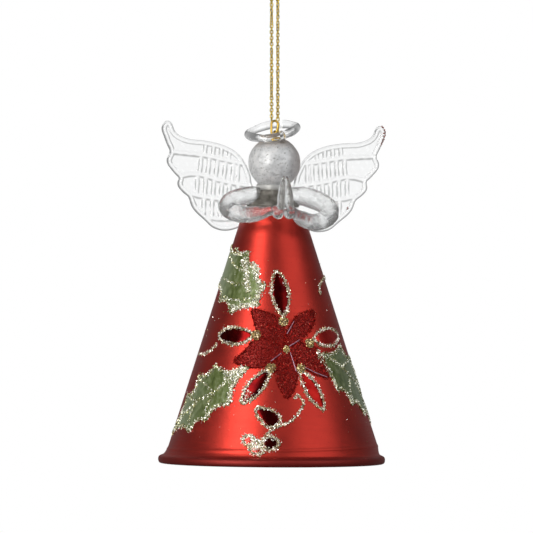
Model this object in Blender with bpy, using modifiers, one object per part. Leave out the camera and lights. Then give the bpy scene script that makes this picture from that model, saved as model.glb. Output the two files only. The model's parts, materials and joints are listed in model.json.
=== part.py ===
"""Glass angel bell ornament: a hollow glass bell shaped as an angel's dress, with a head, wings,
praying arms and a halo of glass, a clapper inside, and a fine gold chain to hang it by.

Frame: metres, +Z up, the angel faces -Y, and the origin is the centre of the rim's resting plane.
Dimensions below are in millimetres; the helpers turn them into metres.
"""

import math

import bmesh
import bpy
from mathutils import Matrix, Vector

MM = 0.001
GAP = 0.3  # clearance between neighbouring pieces of glass or metal

# Bell: a straight cone with a small outward lip, closed by a crown plate
WALL = 1.3
CONE_TOP = (11.3, 91.2)  # radius, height
CONE_FOOT = (38.9, 4.6)
CROWN_Z = 93.2
LIP_RADIUS = 41.5
LIP_HEIGHT = 2.6
TURNED_STEPS = 48

# Collar and head
COLLAR_TOP_Z = 100.0
HEAD_CENTRE = Vector((0.35, -1.0, 109.8))
HEAD_RADIUS = 9.5

# Wings: flat pressed glass behind the shoulders; spread is measured outwards from their mirror plane
WING_PLANE_X = 0.9
WING_Y = 8.0
WING_THICKNESS = 2.6
WING_PIVOT = (8.0, 100.0)  # spread, height
WING_DROOP = {"left": 0.0, "right": 3.0}  # degrees that the outer end hangs down

# Arms and hands
HANDS_CENTRE = Vector((1.6, -20.5, 97.9))
HAND_HEIGHT = 15.8
HAND_DEPTH = 4.6
HAND_THICKNESS = 3.0

# Halo: tilted down to the front and to the angel's right
HALO_CENTRE = Vector((-0.3, 0.0, 122.1))
HALO_RADIUS = 9.0
HALO_ROD = 1.3
HALO_TILT_FRONT = 14.0
HALO_TILT_SIDE = 7.0

# Hanging eye and jump ring
EYE_X = 0.45
EYE_Y = -1.0
EYE_TOP_Z = 121.2
EYE_RADIUS = 1.5
EYE_ROD = 0.55
RING_HALF_WIDTH = 1.25
RING_TOP_Z = 125.25
RING_WIRE = 0.35

# Chain: two strands in rigid runs, a hinge between one level of runs and the next
STRAND_OFFSET = 1.15
LINK_PITCH = 1.1
LINKS_PER_RUN = 8
LEVELS = 6
RUN_GAP = 0.8
LINK_WIDTH = 1.35
LINK_WIRE = 0.4

# Clapper
CLAPPER_EYE_Z = 88.0
CLAPPER_LINK_HALF_WIDTH = 1.1
CLAPPER_PIVOT_Z = 84.5
CLAPPER_WIRE = 0.35
CLAPPER_STEM_RADIUS = 0.6
CLAPPER_BALL_Z = 21.0
CLAPPER_BALL_RADIUS = 5.5


# ---------------------------------------------------------------- scene, materials, small helpers

def clear_scene():
    for old in list(bpy.data.objects):
        bpy.data.objects.remove(old)


def new_collection(name):
    collection = bpy.data.collections.new(name)
    bpy.context.scene.collection.children.link(collection)
    return collection


def material(name, colour, roughness, metallic=0.0, transmission=0.0):
    made = bpy.data.materials.new(name)
    made.use_nodes = True
    shader = made.node_tree.nodes["Principled BSDF"]
    shader.inputs["Base Color"].default_value = (*colour, 1.0)
    shader.inputs["Roughness"].default_value = roughness
    shader.inputs["Metallic"].default_value = metallic
    shader.inputs["Transmission Weight"].default_value = transmission
    return made


def metres(point):
    return Vector(point) * MM


def add(name, data, collection, finish=None):
    """A new object in the collection, with one material."""
    obj = bpy.data.objects.new(name, data)
    collection.objects.link(obj)
    if finish:
        data.materials.append(finish)
    return obj


def as_cutter(obj):
    obj.hide_render = True
    obj.display_type = "WIRE"
    return obj


def shade_smooth(mesh, sharp_angle=40.0):
    mesh.shade_smooth()
    mesh.set_sharp_from_angle(angle=math.radians(sharp_angle))


def to_mesh(obj, finish=None):
    """Replaces a curve, or an object with modifiers, by its evaluated mesh with welded caps."""
    bpy.context.view_layer.update()
    graph = bpy.context.evaluated_depsgraph_get()
    mesh = bpy.data.meshes.new_from_object(obj.evaluated_get(graph))
    weld(mesh)
    made = bpy.data.objects.new(obj.name + ".solid", mesh)
    made.matrix_world = obj.matrix_world
    made.hide_render = obj.hide_render
    made.display_type = obj.display_type
    for collection in obj.users_collection:
        collection.objects.link(made)
    name = obj.name
    bpy.data.objects.remove(obj)
    made.name = name
    if finish:
        mesh.materials.clear()
        mesh.materials.append(finish)
    shade_smooth(mesh)
    return made


def weld(mesh, distance=1e-6):

    work = bmesh.new()
    work.from_mesh(mesh)
    bmesh.ops.remove_doubles(work, verts=work.verts, dist=distance)
    bmesh.ops.recalc_face_normals(work, faces=work.faces)
    work.to_mesh(mesh)
    work.free()


def boolean(obj, other, operation="DIFFERENCE"):
    modifier = obj.modifiers.new(operation.lower() + "_" + other.name, "BOOLEAN")
    modifier.operation = operation
    modifier.object = other


# ---------------------------------------------------------------- shape helpers

def turned(name, profile, collection, finish, steps=TURNED_STEPS):
    """A turned solid: profile points (radius, height) start and end on the axis, outer side first."""
    mesh = bpy.data.meshes.new(name)
    edges = [(i, i + 1) for i in range(len(profile) - 1)]
    mesh.from_pydata([metres((r, 0.0, z)) for r, z in profile], edges, [])
    obj = add(name, mesh, collection, finish)
    screw = obj.modifiers.new("turn", "SCREW")
    screw.axis = "Z"
    screw.steps = steps
    screw.render_steps = steps
    screw.use_merge_vertices = True
    screw.merge_threshold = 1e-6
    screw.use_smooth_shade = True
    return obj


def rod(name, points, radii, collection, finish, sides=8, smooth_steps=0, cyclic=False):
    """A round rod along points, with a radius at each; smooth_steps > 0 rounds the path."""
    curve = bpy.data.curves.new(name, "CURVE")
    curve.dimensions = "3D"
    curve.bevel_depth = MM
    curve.bevel_resolution = sides // 2 - 2
    curve.use_fill_caps = not cyclic
    if smooth_steps:
        spline = curve.splines.new("BEZIER")
        spline.bezier_points.add(len(points) - 1)
        curve.resolution_u = smooth_steps
        for knot, point, radius in zip(spline.bezier_points, points, radii):
            knot.co = metres(point)
            knot.handle_left_type = "AUTO"
            knot.handle_right_type = "AUTO"
            knot.radius = radius
    else:
        spline = curve.splines.new("POLY")
        spline.points.add(len(points) - 1)
        for knot, point, radius in zip(spline.points, points, radii):
            knot.co = (*metres(point), 1.0)
            knot.radius = radius
    spline.use_cyclic_u = cyclic
    return add(name, curve, collection, finish)


def arc(centre, radius, start, end, steps):
    """Points (across, up) on an arc, angles in degrees from the first axis."""
    angles = [math.radians(start + (end - start) * i / steps) for i in range(steps + 1)]
    return [(centre[0] + radius * math.cos(a), centre[1] + radius * math.sin(a)) for a in angles]


def oval(half_width, low_centre, high_centre, steps=6):
    """A closed oval (across, up) with half-round ends about the two centres."""
    top = arc((0.0, high_centre), half_width, 0.0, 180.0, steps)
    bottom = arc((0.0, low_centre), half_width, 180.0, 360.0, steps)
    return top + bottom


def ball(name, centre, radius, collection, finish, segments=24, rings=14):
    bpy.ops.mesh.primitive_uv_sphere_add(segments=segments, ring_count=rings, radius=radius * MM)
    obj = bpy.context.object
    obj.name = name
    obj.location = metres(centre)
    move_to(obj, collection)
    obj.data.materials.append(finish)
    shade_smooth(obj.data, 60.0)
    return obj


def move_to(obj, collection):
    for old in list(obj.users_collection):
        old.objects.unlink(obj)
    collection.objects.link(obj)


# ---------------------------------------------------------------- bell, collar and head

def skirt_profile(grow=0.0):
    """Outer side of the dress from the crown's centre to the foot of the cone, (radius, height)."""
    top_radius, top_z = CONE_TOP
    return [
        (0.0, CROWN_Z + grow),
        (9.0 + grow, CROWN_Z + grow),
        (10.4 + grow, CROWN_Z - 0.4 + grow),
        (top_radius + grow, top_z),
        (CONE_FOOT[0] + grow, CONE_FOOT[1]),
    ]


def bell_skirt(collection, finish):
    foot_radius, foot_z = CONE_FOOT
    lip = [
        (foot_radius + 0.7, LIP_HEIGHT + 0.7),
        (LIP_RADIUS - 0.5, LIP_HEIGHT),
        (LIP_RADIUS, LIP_HEIGHT - 0.7),
        (LIP_RADIUS, 0.8),
        (LIP_RADIUS - 0.5, 0.0),
        (LIP_RADIUS - 1.7, 0.0),
        (foot_radius - 0.6, 1.6),
        (foot_radius - WALL, foot_z),
    ]
    top_radius, top_z = CONE_TOP
    inner = [
        (top_radius - WALL, top_z - 0.4),
        (top_radius - WALL - 1.4, CROWN_Z - WALL - 0.2),
        (0.0, CROWN_Z - WALL - 0.2),
    ]
    return turned("bell_skirt", skirt_profile() + lip + inner, collection, finish)


# The collar's outer side from its top to its foot: (radius, height)
COLLAR_FOOT_Z = 93.5
COLLAR_SIDE = [
    (5.6, COLLAR_TOP_Z),
    (6.3, 99.3),
    (6.9, 98.0),
    (8.0, 96.4),
    (9.2, 95.1),
    (9.6, 94.3),
    (9.3, COLLAR_FOOT_Z),
]


def collar_profile(grow=0.0):
    profile = [(0.0, COLLAR_TOP_Z + grow)]
    if grow > 0:
        profile.append((COLLAR_SIDE[0][0], COLLAR_TOP_Z + grow))
    profile += [(radius + grow, z) for radius, z in COLLAR_SIDE]
    profile.append((0.0, COLLAR_FOOT_Z))
    return profile


def neck_collar(collection, finish):
    return turned("neck_collar", collar_profile(), collection, finish)


def head(collection, finish):
    return ball("head", HEAD_CENTRE, HEAD_RADIUS, collection, finish)


def torso_clearances(cutters):
    """What wings and arms are cut back from: the dress and the collar, grown by the gap."""
    dress = turned("dress_clearance", skirt_profile(GAP) + [(0.0, CONE_FOOT[1])], cutters, None)
    collar = turned("collar_clearance", collar_profile(GAP), cutters, None)
    return [as_cutter(dress), as_cutter(collar)]


# ---------------------------------------------------------------- wings

# One wing's outline from the root's top round the leading edge, tip and three feather ends to the
# root's foot: (spread from the mirror plane, height, True at the notch between two feathers)
WING_OUTLINE = [
    (7.6, 102.1, False),
    (8.3, 105.8, False),
    (12.3, 112.9, False),
    (17.6, 116.2, False),
    (24.6, 118.0, False),
    (32.3, 119.1, False),
    (35.6, 121.0, False),
    (38.5, 125.4, False),
    (40.9, 123.4, False),
    (40.2, 119.6, False),
    (37.9, 114.0, True),
    (39.2, 110.6, False),
    (37.1, 107.0, False),
    (34.7, 104.4, True),
    (35.2, 102.0, False),
    (33.8, 99.7, False),
    (31.1, 97.4, True),
    (29.6, 93.3, False),
    (25.2, 88.9, True),
    (21.2, 85.7, False),
    (14.0, 85.6, False),
    (9.0, 89.0, False),
    (3.2, 94.0, True),
    (4.4, 97.5, False),
]


def wing(side, sign, collection, finish, clearances):
    """A flat pressed-glass wing: outline drawn across and up, then stood upright and cut at the root."""
    curve = bpy.data.curves.new("wing_" + side, "CURVE")
    curve.dimensions = "2D"
    curve.fill_mode = "BOTH"
    curve.extrude = WING_THICKNESS / 2 * MM
    curve.resolution_u = 4
    spline = curve.splines.new("BEZIER")
    spline.bezier_points.add(len(WING_OUTLINE) - 1)
    spline.use_cyclic_u = True
    turn = Matrix.Rotation(-math.radians(WING_DROOP[side]), 2)
    pivot = Vector(WING_PIVOT)
    for knot, (spread, height, notch) in zip(spline.bezier_points, WING_OUTLINE):
        placed = turn @ (Vector((spread, height)) - pivot) + pivot
        knot.co = metres((WING_PLANE_X + sign * placed.x, placed.y, 0.0))
        handle = "VECTOR" if notch else "AUTO"
        knot.handle_left_type = handle
        knot.handle_right_type = handle
    obj = add("wing_" + side, curve, collection, finish)
    obj.rotation_euler.x = math.radians(90.0)
    obj.location.y = WING_Y * MM
    obj = to_mesh(obj, finish)
    for cutter in clearances:
        boolean(obj, cutter)
    return obj


# ---------------------------------------------------------------- arms and hands

# Shoulder to wrist: (x, y, height, radius)
ARM_PATHS = {
    "left": [
        (-3.5, -1.0, 98.2, 2.2),
        (-11.0, -3.0, 97.6, 2.7),
        (-17.6, -6.2, 94.2, 2.7),
        (-14.6, -11.0, 91.2, 2.6),
        (-8.6, -15.2, 91.0, 2.2),
        (-1.2, -20.0, 92.6, 1.5),
    ],
    "right": [
        (5.0, -1.0, 98.0, 2.3),
        (13.6, -3.2, 96.8, 3.0),
        (20.0, -6.4, 92.2, 2.8),
        (15.4, -11.0, 88.2, 2.5),
        (8.6, -15.6, 89.2, 2.2),
        (3.6, -20.0, 92.6, 1.5),
    ],
}


# A hand's depth from its foot (-1) to its finger tips (1), as a share of its full depth
HAND_WIDTHS = [
    (-1.0, 0.25),
    (-0.85, 0.62),
    (-0.5, 0.92),
    (-0.05, 1.0),
    (0.4, 0.82),
    (0.75, 0.5),
    (1.0, 0.16),
]


def hand(side, sign, collection, finish, grow=0.0):
    """One half of the praying hands: a flattened, pointed drop of glass."""
    half = HAND_HEIGHT / 2
    points = [(0.0, 0.0, half * share) for share, _ in HAND_WIDTHS]
    radii = [HAND_DEPTH / 2 * width + grow for _, width in HAND_WIDTHS]
    obj = rod("hand_" + side, points, radii, collection, finish, sides=12)
    offset = (HAND_THICKNESS + GAP) / 2
    obj.location = metres(HANDS_CENTRE + Vector((sign * offset, 0.0, 0.0)))
    obj.scale.x = (HAND_THICKNESS / 2 + grow) / (HAND_DEPTH / 2 + grow)
    return obj


def arm(side, collection, finish, clearances):
    path = ARM_PATHS[side]
    points = [step[:3] for step in path]
    radii = [step[3] for step in path]
    obj = rod("arm_" + side, points, radii, collection, finish, sides=10, smooth_steps=4)
    obj = to_mesh(obj, finish)
    for cutter in clearances:
        boolean(obj, cutter)
    return obj


def hand_clearance(side, sign, cutters):
    grown = hand(side, sign, cutters, None, grow=GAP)
    grown.name = "hand_clearance_" + side
    return to_mesh(as_cutter(grown))


# ---------------------------------------------------------------- halo, hanging eye and jump ring

def halo_turn():
    front = Matrix.Rotation(math.radians(HALO_TILT_FRONT), 3, "X")
    side = Matrix.Rotation(-math.radians(HALO_TILT_SIDE), 3, "Y")
    return side @ front


def halo(collection, finish):
    bpy.ops.mesh.primitive_torus_add(
        major_radius=HALO_RADIUS * MM, minor_radius=HALO_ROD * MM, major_segments=36, minor_segments=8
    )
    obj = bpy.context.object
    obj.name = "halo"
    obj.location = metres(HALO_CENTRE)
    obj.rotation_euler = halo_turn().to_euler()
    move_to(obj, collection)
    obj.data.materials.append(finish)
    shade_smooth(obj.data, 60.0)
    return obj


def halo_foot(collection, finish):
    """The drop of glass from the crown to the front of the halo."""
    on_ring = HALO_CENTRE + halo_turn() @ (HALO_RADIUS * Vector((0.28, -0.96, 0.0)))
    on_crown = HEAD_CENTRE + (HEAD_RADIUS + GAP) * Vector((0.2, -0.42, 0.885)).normalized()
    towards = (on_ring - on_crown).normalized()
    start = on_crown + 0.65 * towards
    end = on_ring - (HALO_ROD + GAP + 0.25) * towards
    return rod("halo_foot", [start, (start + end) / 2, end], [1.0, 0.8, 0.9], collection, finish)


def hanging_eye(collection, finish):
    """A glass loop standing on the crown in the YZ plane."""
    centre = (EYE_Y, EYE_TOP_Z - EYE_RADIUS)
    path = arc(centre, EYE_RADIUS, 0.0, 180.0, 8)
    points = [(EYE_X, y, z) for y, z in path]
    return rod("hanging_eye", points, [EYE_ROD] * len(points), collection, finish)


def jump_ring(collection, finish):
    """An oval wire ring in the XZ plane, half-round about the eye's rod at its lower end."""
    path = oval(RING_HALF_WIDTH, EYE_TOP_Z, RING_TOP_Z - RING_HALF_WIDTH)
    points = [(EYE_X + x, EYE_Y, z) for x, z in path]
    return rod("jump_ring", points, [RING_WIRE] * len(points), collection, finish, sides=6, cyclic=True)


# ---------------------------------------------------------------- chain

def link_section(cutters):
    """The flat section of a link, carried along a strand and turned a quarter at each link."""
    curve = bpy.data.curves.new("link_section", "CURVE")
    curve.dimensions = "2D"
    spline = curve.splines.new("POLY")
    corners = [(1, 1), (1, -1), (-1, -1), (-1, 1)]
    spline.points.add(len(corners) - 1)
    for knot, (across, deep) in zip(spline.points, corners):
        knot.co = (across * LINK_WIDTH / 2 * MM, deep * LINK_WIRE / 2 * MM, 0.0, 1.0)
    spline.use_cyclic_u = True
    return as_cutter(add("link_section", curve, cutters))


def level_z(level):
    """Height of the hinge below a level of runs; level 0 hangs on the jump ring."""
    return RING_TOP_Z + level * LINKS_PER_RUN * LINK_PITCH


def run_of_links(name, points, section, collection, finish):
    curve = bpy.data.curves.new(name, "CURVE")
    curve.dimensions = "3D"
    curve.bevel_mode = "OBJECT"
    curve.bevel_object = section
    curve.use_fill_caps = True
    spline = curve.splines.new("POLY")
    spline.points.add(len(points) - 1)
    for i, (knot, point) in enumerate(zip(spline.points, points)):
        knot.co = (*metres(point), 1.0)
        knot.tilt = math.radians(45.0) * i
    return add(name, curve, collection, finish)


def chain(collection, finish, section):
    """Two strands, one run a level, and the bend that joins them at the top."""
    for level in range(LEVELS):
        low = level_z(level) + (RUN_GAP / 2 if level else RING_WIRE + 0.4)
        high = level_z(level + 1) - RUN_GAP / 2
        steps = 2 * LINKS_PER_RUN
        heights = [low + (high - low) * i / steps for i in range(steps + 1)]
        for side, sign in (("left", -1), ("right", 1)):
            points = [(EYE_X + sign * STRAND_OFFSET, EYE_Y, z) for z in heights]
            run_of_links(f"chain_{side}_{level + 1}", points, section, collection, finish)
    centre = (0.0, level_z(LEVELS) + GAP)
    path = arc(centre, STRAND_OFFSET, 0.0, 180.0, 6)
    points = [(EYE_X + x, EYE_Y, z) for x, z in path]
    return rod("chain_bend", points, [LINK_WIRE] * len(points), collection, finish, sides=6)


# ---------------------------------------------------------------- clapper

def clapper_eye(collection, finish):
    """A wire staple under the crown plate, in the YZ plane."""
    ceiling = CROWN_Z - WALL - 0.2 - GAP
    path = [(EYE_RADIUS, ceiling)]
    path += arc((0.0, CLAPPER_EYE_Z + EYE_RADIUS), EYE_RADIUS, 0.0, -180.0, 8)
    path += [(-EYE_RADIUS, ceiling)]
    points = [(0.0, y, z) for y, z in path]
    return rod("clapper_eye", points, [CLAPPER_WIRE] * len(points), collection, finish, sides=6)


def clapper_link(collection, finish):
    """An oval link in the XZ plane: its top is round the eye, its foot carries the stem's loop."""
    low_centre = CLAPPER_PIVOT_Z + CLAPPER_LINK_HALF_WIDTH
    path = oval(CLAPPER_LINK_HALF_WIDTH, low_centre, CLAPPER_EYE_Z)
    points = [(x, 0.0, z) for x, z in path]
    radii = [CLAPPER_WIRE] * len(points)
    return rod("clapper_link", points, radii, collection, finish, sides=6, cyclic=True)


def clapper_stem(collection, finish, cutters):
    """A straight wire with a loop at its top, in the YZ plane, round the foot of the link."""
    circle = arc((0.0, CLAPPER_PIVOT_Z), CLAPPER_LINK_HALF_WIDTH, 90.0, 420.0, 11)
    loop = [(0.0, y, z) for y, z in circle]
    wires = [CLAPPER_WIRE] * len(loop)
    ring = rod("stem_loop", loop, wires, cutters, None, sides=6, cyclic=True)
    ring = as_cutter(to_mesh(ring))
    top = CLAPPER_PIVOT_Z - CLAPPER_LINK_HALF_WIDTH
    bottom = CLAPPER_BALL_Z + CLAPPER_BALL_RADIUS + GAP
    line = [(0.0, 0.0, top), (0.0, 0.0, bottom)]
    stem = rod("clapper_stem", line, [CLAPPER_STEM_RADIUS] * 2, collection, finish)
    stem = to_mesh(stem, finish)
    boolean(stem, ring, "UNION")
    return stem


def clapper_ball(collection, finish):
    centre = (0.0, 0.0, CLAPPER_BALL_Z)
    return ball("clapper_ball", centre, CLAPPER_BALL_RADIUS, collection, finish, 16, 10)


# ---------------------------------------------------------------- assembly

def build():
    clear_scene()
    parts = new_collection("angel_bell_ornament")
    cutters = new_collection("cutters")

    red_glass = material("red_lacquered_glass", (0.55, 0.03, 0.02), 0.3)
    silvered = material("silvered_glass", (0.62, 0.62, 0.6), 0.35, metallic=0.8)
    frosted = material("frosted_glass", (0.78, 0.79, 0.79), 0.45, metallic=0.5)
    clear = material("clear_glass", (0.95, 0.97, 0.97), 0.04, transmission=1.0)
    gold = material("gold_wire", (0.83, 0.62, 0.16), 0.25, metallic=1.0)

    bell_skirt(parts, red_glass)
    neck_collar(parts, silvered)
    head(parts, frosted)

    torso = torso_clearances(cutters)
    for side, sign in (("left", -1), ("right", 1)):
        wing(side, sign, parts, clear, torso)
        hand(side, sign, parts, clear)
        arm(side, parts, clear, torso + [hand_clearance(side, sign, cutters)])

    halo(parts, clear)
    halo_foot(parts, clear)
    hanging_eye(parts, clear)
    jump_ring(parts, gold)
    chain(parts, gold, link_section(cutters))

    clapper_eye(parts, gold)
    clapper_link(parts, gold)
    clapper_stem(parts, gold, cutters)
    clapper_ball(parts, gold)


build()
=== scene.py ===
"""Looks for the glass angel bell ornament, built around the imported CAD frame.

Everything here is worked out in millimetres and turned into metres when a mesh is made. The angel
faces -Y, +Z is up, and a direction round the bell is an angle from -Y towards +X.
"""

import json
import math
import random

import bmesh
import bpy
import numpy as np
from mathutils import Matrix, Vector, noise
from mathutils.geometry import delaunay_2d_cdt


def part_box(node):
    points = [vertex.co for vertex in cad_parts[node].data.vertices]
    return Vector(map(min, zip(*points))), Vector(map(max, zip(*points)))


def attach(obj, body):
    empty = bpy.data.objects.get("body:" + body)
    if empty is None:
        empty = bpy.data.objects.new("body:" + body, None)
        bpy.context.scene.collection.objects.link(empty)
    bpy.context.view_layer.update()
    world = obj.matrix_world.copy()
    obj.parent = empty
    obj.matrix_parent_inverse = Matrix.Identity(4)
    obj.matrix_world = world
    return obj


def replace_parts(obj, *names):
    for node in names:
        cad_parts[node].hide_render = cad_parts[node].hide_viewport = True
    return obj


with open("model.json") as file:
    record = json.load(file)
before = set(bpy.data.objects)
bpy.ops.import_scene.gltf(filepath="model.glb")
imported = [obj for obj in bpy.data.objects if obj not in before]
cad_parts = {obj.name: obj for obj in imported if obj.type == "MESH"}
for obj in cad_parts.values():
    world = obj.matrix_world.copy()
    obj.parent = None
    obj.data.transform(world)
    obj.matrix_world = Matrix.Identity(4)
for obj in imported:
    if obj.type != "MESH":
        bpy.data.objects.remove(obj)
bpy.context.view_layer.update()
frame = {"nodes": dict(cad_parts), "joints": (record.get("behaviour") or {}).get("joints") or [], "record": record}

MM = 0.001

# Camera: level, a little to the angel's right of the front
CAMERA_AZIMUTH = -8.0
CAMERA_DISTANCE = 1900.0
CAMERA_HEIGHT = 71.9
CAMERA_SHIFT = -2.4  # from the bell's axis, to the picture's right
PICTURE_WIDTH = 195.1  # what the picture spans at the axis
SENSOR_WIDTH = 36.0


# ---------------------------------------------------------------- what the CAD says

BODY_OF = {node: body for body, nodes in frame["record"]["behaviour"]["bodies"].items() for node in nodes}


def node_box(node):
    """Lowest and highest corner of a CAD node, in mm."""
    low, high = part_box(node)
    return low / MM, high / MM


def node_middle(node):
    """Middle and half size of a CAD node, in mm."""
    low, high = node_box(node)
    return (low + high) / 2, (high - low) / 2


def node_points(node):
    """A CAD node's vertices in mm, as an array."""
    return np.array([v.co / MM for v in frame["nodes"][node].data.vertices])


def welded(node):
    """A CAD node's mesh for editing, with its doubled vertices merged."""
    work = bmesh.new()
    work.from_mesh(frame["nodes"][node].data)
    bmesh.ops.remove_doubles(work, verts=work.verts, dist=1e-6)
    return work


def rings(node):
    """The different (radius, height) of a turned CAD node's vertices, in mm."""
    vertices = frame["nodes"][node].data.vertices
    return sorted({(round(v.co.xy.length / MM, 2), round(v.co.z / MM, 2)) for v in vertices})


def cone_ends():
    """(radius, height) of the dress's top and foot: the ends of the bell's longest edge."""
    mesh = frame["nodes"]["bell_skirt"].data
    edges = [[mesh.vertices[i].co / MM for i in edge.vertices] for edge in mesh.edges]
    longest = max(edges, key=lambda ends: (ends[0] - ends[1]).length)
    return sorted(((p.xy.length, p.z) for p in longest), key=lambda end: -end[1])


CONE_TOP, CONE_FOOT = cone_ends()
CONE_SLOPE = (CONE_FOOT[0] - CONE_TOP[0]) / (CONE_TOP[1] - CONE_FOOT[1])
CONE_SLANT = math.hypot(1.0, CONE_SLOPE)


# ---------------------------------------------------------------- meshes

def linked(name, mesh, material):
    """A new object in the scene, with one material."""
    mesh.materials.append(material)
    obj = bpy.data.objects.new(name, mesh)
    bpy.context.scene.collection.objects.link(obj)
    return obj


def piece(name, mesh, material, node):
    """A new piece, with one material, that rides on a CAD node's body."""
    obj = linked(name, mesh, material)
    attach(obj, BODY_OF[node])
    return obj


def solid_mesh(name, solid):
    """A mesh from a solid, which is (vertices in mm, faces), with its faces turned outwards."""
    vertices, faces = solid
    mesh = bpy.data.meshes.new(name)
    mesh.from_pydata([tuple(c * MM for c in v) for v in vertices], [], faces)
    work = bmesh.new()
    work.from_mesh(mesh)
    bmesh.ops.recalc_face_normals(work, faces=work.faces)
    work.to_mesh(mesh)
    work.free()
    return mesh


def smooth_piece(name, solid, material, node):
    mesh = solid_mesh(name, solid)
    mesh.shade_smooth()
    return piece(name, mesh, material, node)


def stand_in(name, solid, material, *nodes):
    """A smooth piece that is shown instead of one or more CAD nodes."""
    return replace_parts(smooth_piece(name, solid, material, nodes[0]), *nodes)


def outwards(angle):
    """The level direction that points away from the bell's axis at an angle round it."""
    return Vector((math.sin(angle), -math.cos(angle), 0.0))


def closed_grid(rows, columns, wrap_rows=False):
    """Faces of a rows x columns grid of vertices that wraps round its columns, and maybe its rows."""
    faces = []
    for i in range(rows if wrap_rows else rows - 1):
        here, below = i * columns, (i + 1) % rows * columns
        for j in range(columns):
            beside = (j + 1) % columns
            faces.append((here + j, here + beside, below + beside, below + j))
    return faces


def turned(profile, steps, shape=None):
    """Vertices and faces of a turned solid. The profile starts and ends on the axis, outer side first.
    shape(angle, radius, height) may return a changed radius."""
    vertices = []
    for radius, height in profile[1:-1]:
        for j in range(steps):
            angle = 2 * math.pi * j / steps
            r = shape(angle, radius, height) if shape else radius
            vertices.append((r * math.sin(angle), -r * math.cos(angle), height))
    rows = len(profile) - 2
    faces = [tuple(reversed(face)) for face in closed_grid(rows, steps)]
    top, bottom = len(vertices), len(vertices) + 1
    vertices += [(0.0, 0.0, profile[0][1]), (0.0, 0.0, profile[-1][1])]
    last = (rows - 1) * steps
    for j in range(steps):
        beside = (j + 1) % steps
        faces.append((top, j, beside))
        faces.append((bottom, last + beside, last + j))
    return vertices, faces


def smooth_path(points, steps, closed=False):
    """Catmull-Rom points through the given ones; works for 2 or 3 or more numbers a point."""
    knots = np.array(points, float)
    count = len(knots)
    spans = count if closed else count - 1
    path = []
    for i in range(spans):
        if closed:
            before, here, there, after = (knots[(i + k) % count] for k in (-1, 0, 1, 2))
        else:
            before, here = knots[max(i - 1, 0)], knots[i]
            there, after = knots[i + 1], knots[min(i + 2, count - 1)]
        for k in range(steps):
            t = k / steps
            path.append(
                0.5 * (2 * here + (there - before) * t + (2 * before - 5 * here + 4 * there - after) * t ** 2
                       + (3 * here - before - 3 * there + after) * t ** 3)
            )
    if not closed:
        path.append(knots[-1])
    return np.array(path)


def evenly(path, spacing, closed=False):
    """The same path with points about spacing apart."""
    points = np.vstack([path, path[:1]]) if closed else np.array(path)
    along = np.concatenate([[0.0], np.cumsum(np.linalg.norm(np.diff(points, axis=0), axis=1))])
    count = max(3, round(along[-1] / spacing))
    places = np.linspace(0.0, along[-1], count + 1)
    if closed:
        places = places[:-1]
    return np.stack([np.interp(places, along, points[:, k]) for k in range(points.shape[1])], axis=1)


NOSE_STEPS = 4
NOSE_TIP = 0.16  # how far a nose's tip is past its last section, in that section's radii


def tube(path, radii, sides, closed=False, across=None):
    """Vertices and faces of a round rod along a path of 3-D points; open ends get round noses.
    across is a first sideways direction, which fixes how the sides are placed."""
    points = [Vector(p) for p in path]
    radii = list(radii) if hasattr(radii, "__len__") else [radii] * len(points)
    count = len(points)
    tangents = []
    for i in range(count):
        after = points[(i + 1) % count] if closed or i < count - 1 else points[i]
        before = points[i - 1] if closed or i > 0 else points[i]
        tangents.append((after - before).normalized())
    side = Vector(across) if across else tangents[0].orthogonal()
    if not closed:
        points, radii, tangents = with_noses(points, radii, tangents)
        count = len(points)
    vertices = []
    for point, radius, tangent in zip(points, radii, tangents):
        side = (side - side.dot(tangent) * tangent).normalized()
        other = tangent.cross(side)
        for j in range(sides):
            angle = 2 * math.pi * j / sides
            vertices.append(point + radius * (math.cos(angle) * side + math.sin(angle) * other))
    faces = closed_grid(count, sides, wrap_rows=closed)
    if not closed:
        first, last = len(vertices), len(vertices) + 1
        vertices.append(points[0] - radii[0] * NOSE_TIP * tangents[0])
        vertices.append(points[-1] + radii[-1] * NOSE_TIP * tangents[-1])
        for j in range(sides):
            beside = (j + 1) % sides
            faces.append((first, beside, j))
            faces.append((last, (count - 1) * sides + j, (count - 1) * sides + beside))
    return vertices, faces


def with_noses(points, radii, tangents):
    """Adds shrinking sections past both open ends of a rod, so that they end half round."""
    shares = [math.sin(math.pi / 2 * k / (NOSE_STEPS + 1)) for k in range(1, NOSE_STEPS + 1)]

    def nose(point, radius, outwards):
        return [(point + radius * s * outwards, radius * math.sqrt(1 - s * s)) for s in shares]

    head = nose(points[0], radii[0], -tangents[0])[::-1]
    tail = nose(points[-1], radii[-1], tangents[-1])
    all_points = [p for p, _ in head] + points + [p for p, _ in tail]
    all_radii = [r for _, r in head] + radii + [r for _, r in tail]
    return all_points, all_radii, [tangents[0]] * NOSE_STEPS + tangents + [tangents[-1]] * NOSE_STEPS


def half_circle(radius, steps):
    """A ball's profile about the origin, from its top to its bottom."""
    angles = [math.pi * i / steps for i in range(steps + 1)]
    return [(radius * math.sin(a), radius * math.cos(a)) for a in angles]


def joined(parts):
    """One list of vertices and one of faces from several."""
    vertices, faces = [], []
    for part_vertices, part_faces in parts:
        start = len(vertices)
        vertices += list(part_vertices)
        faces += [tuple(i + start for i in face) for face in part_faces]
    return vertices, faces


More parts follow.
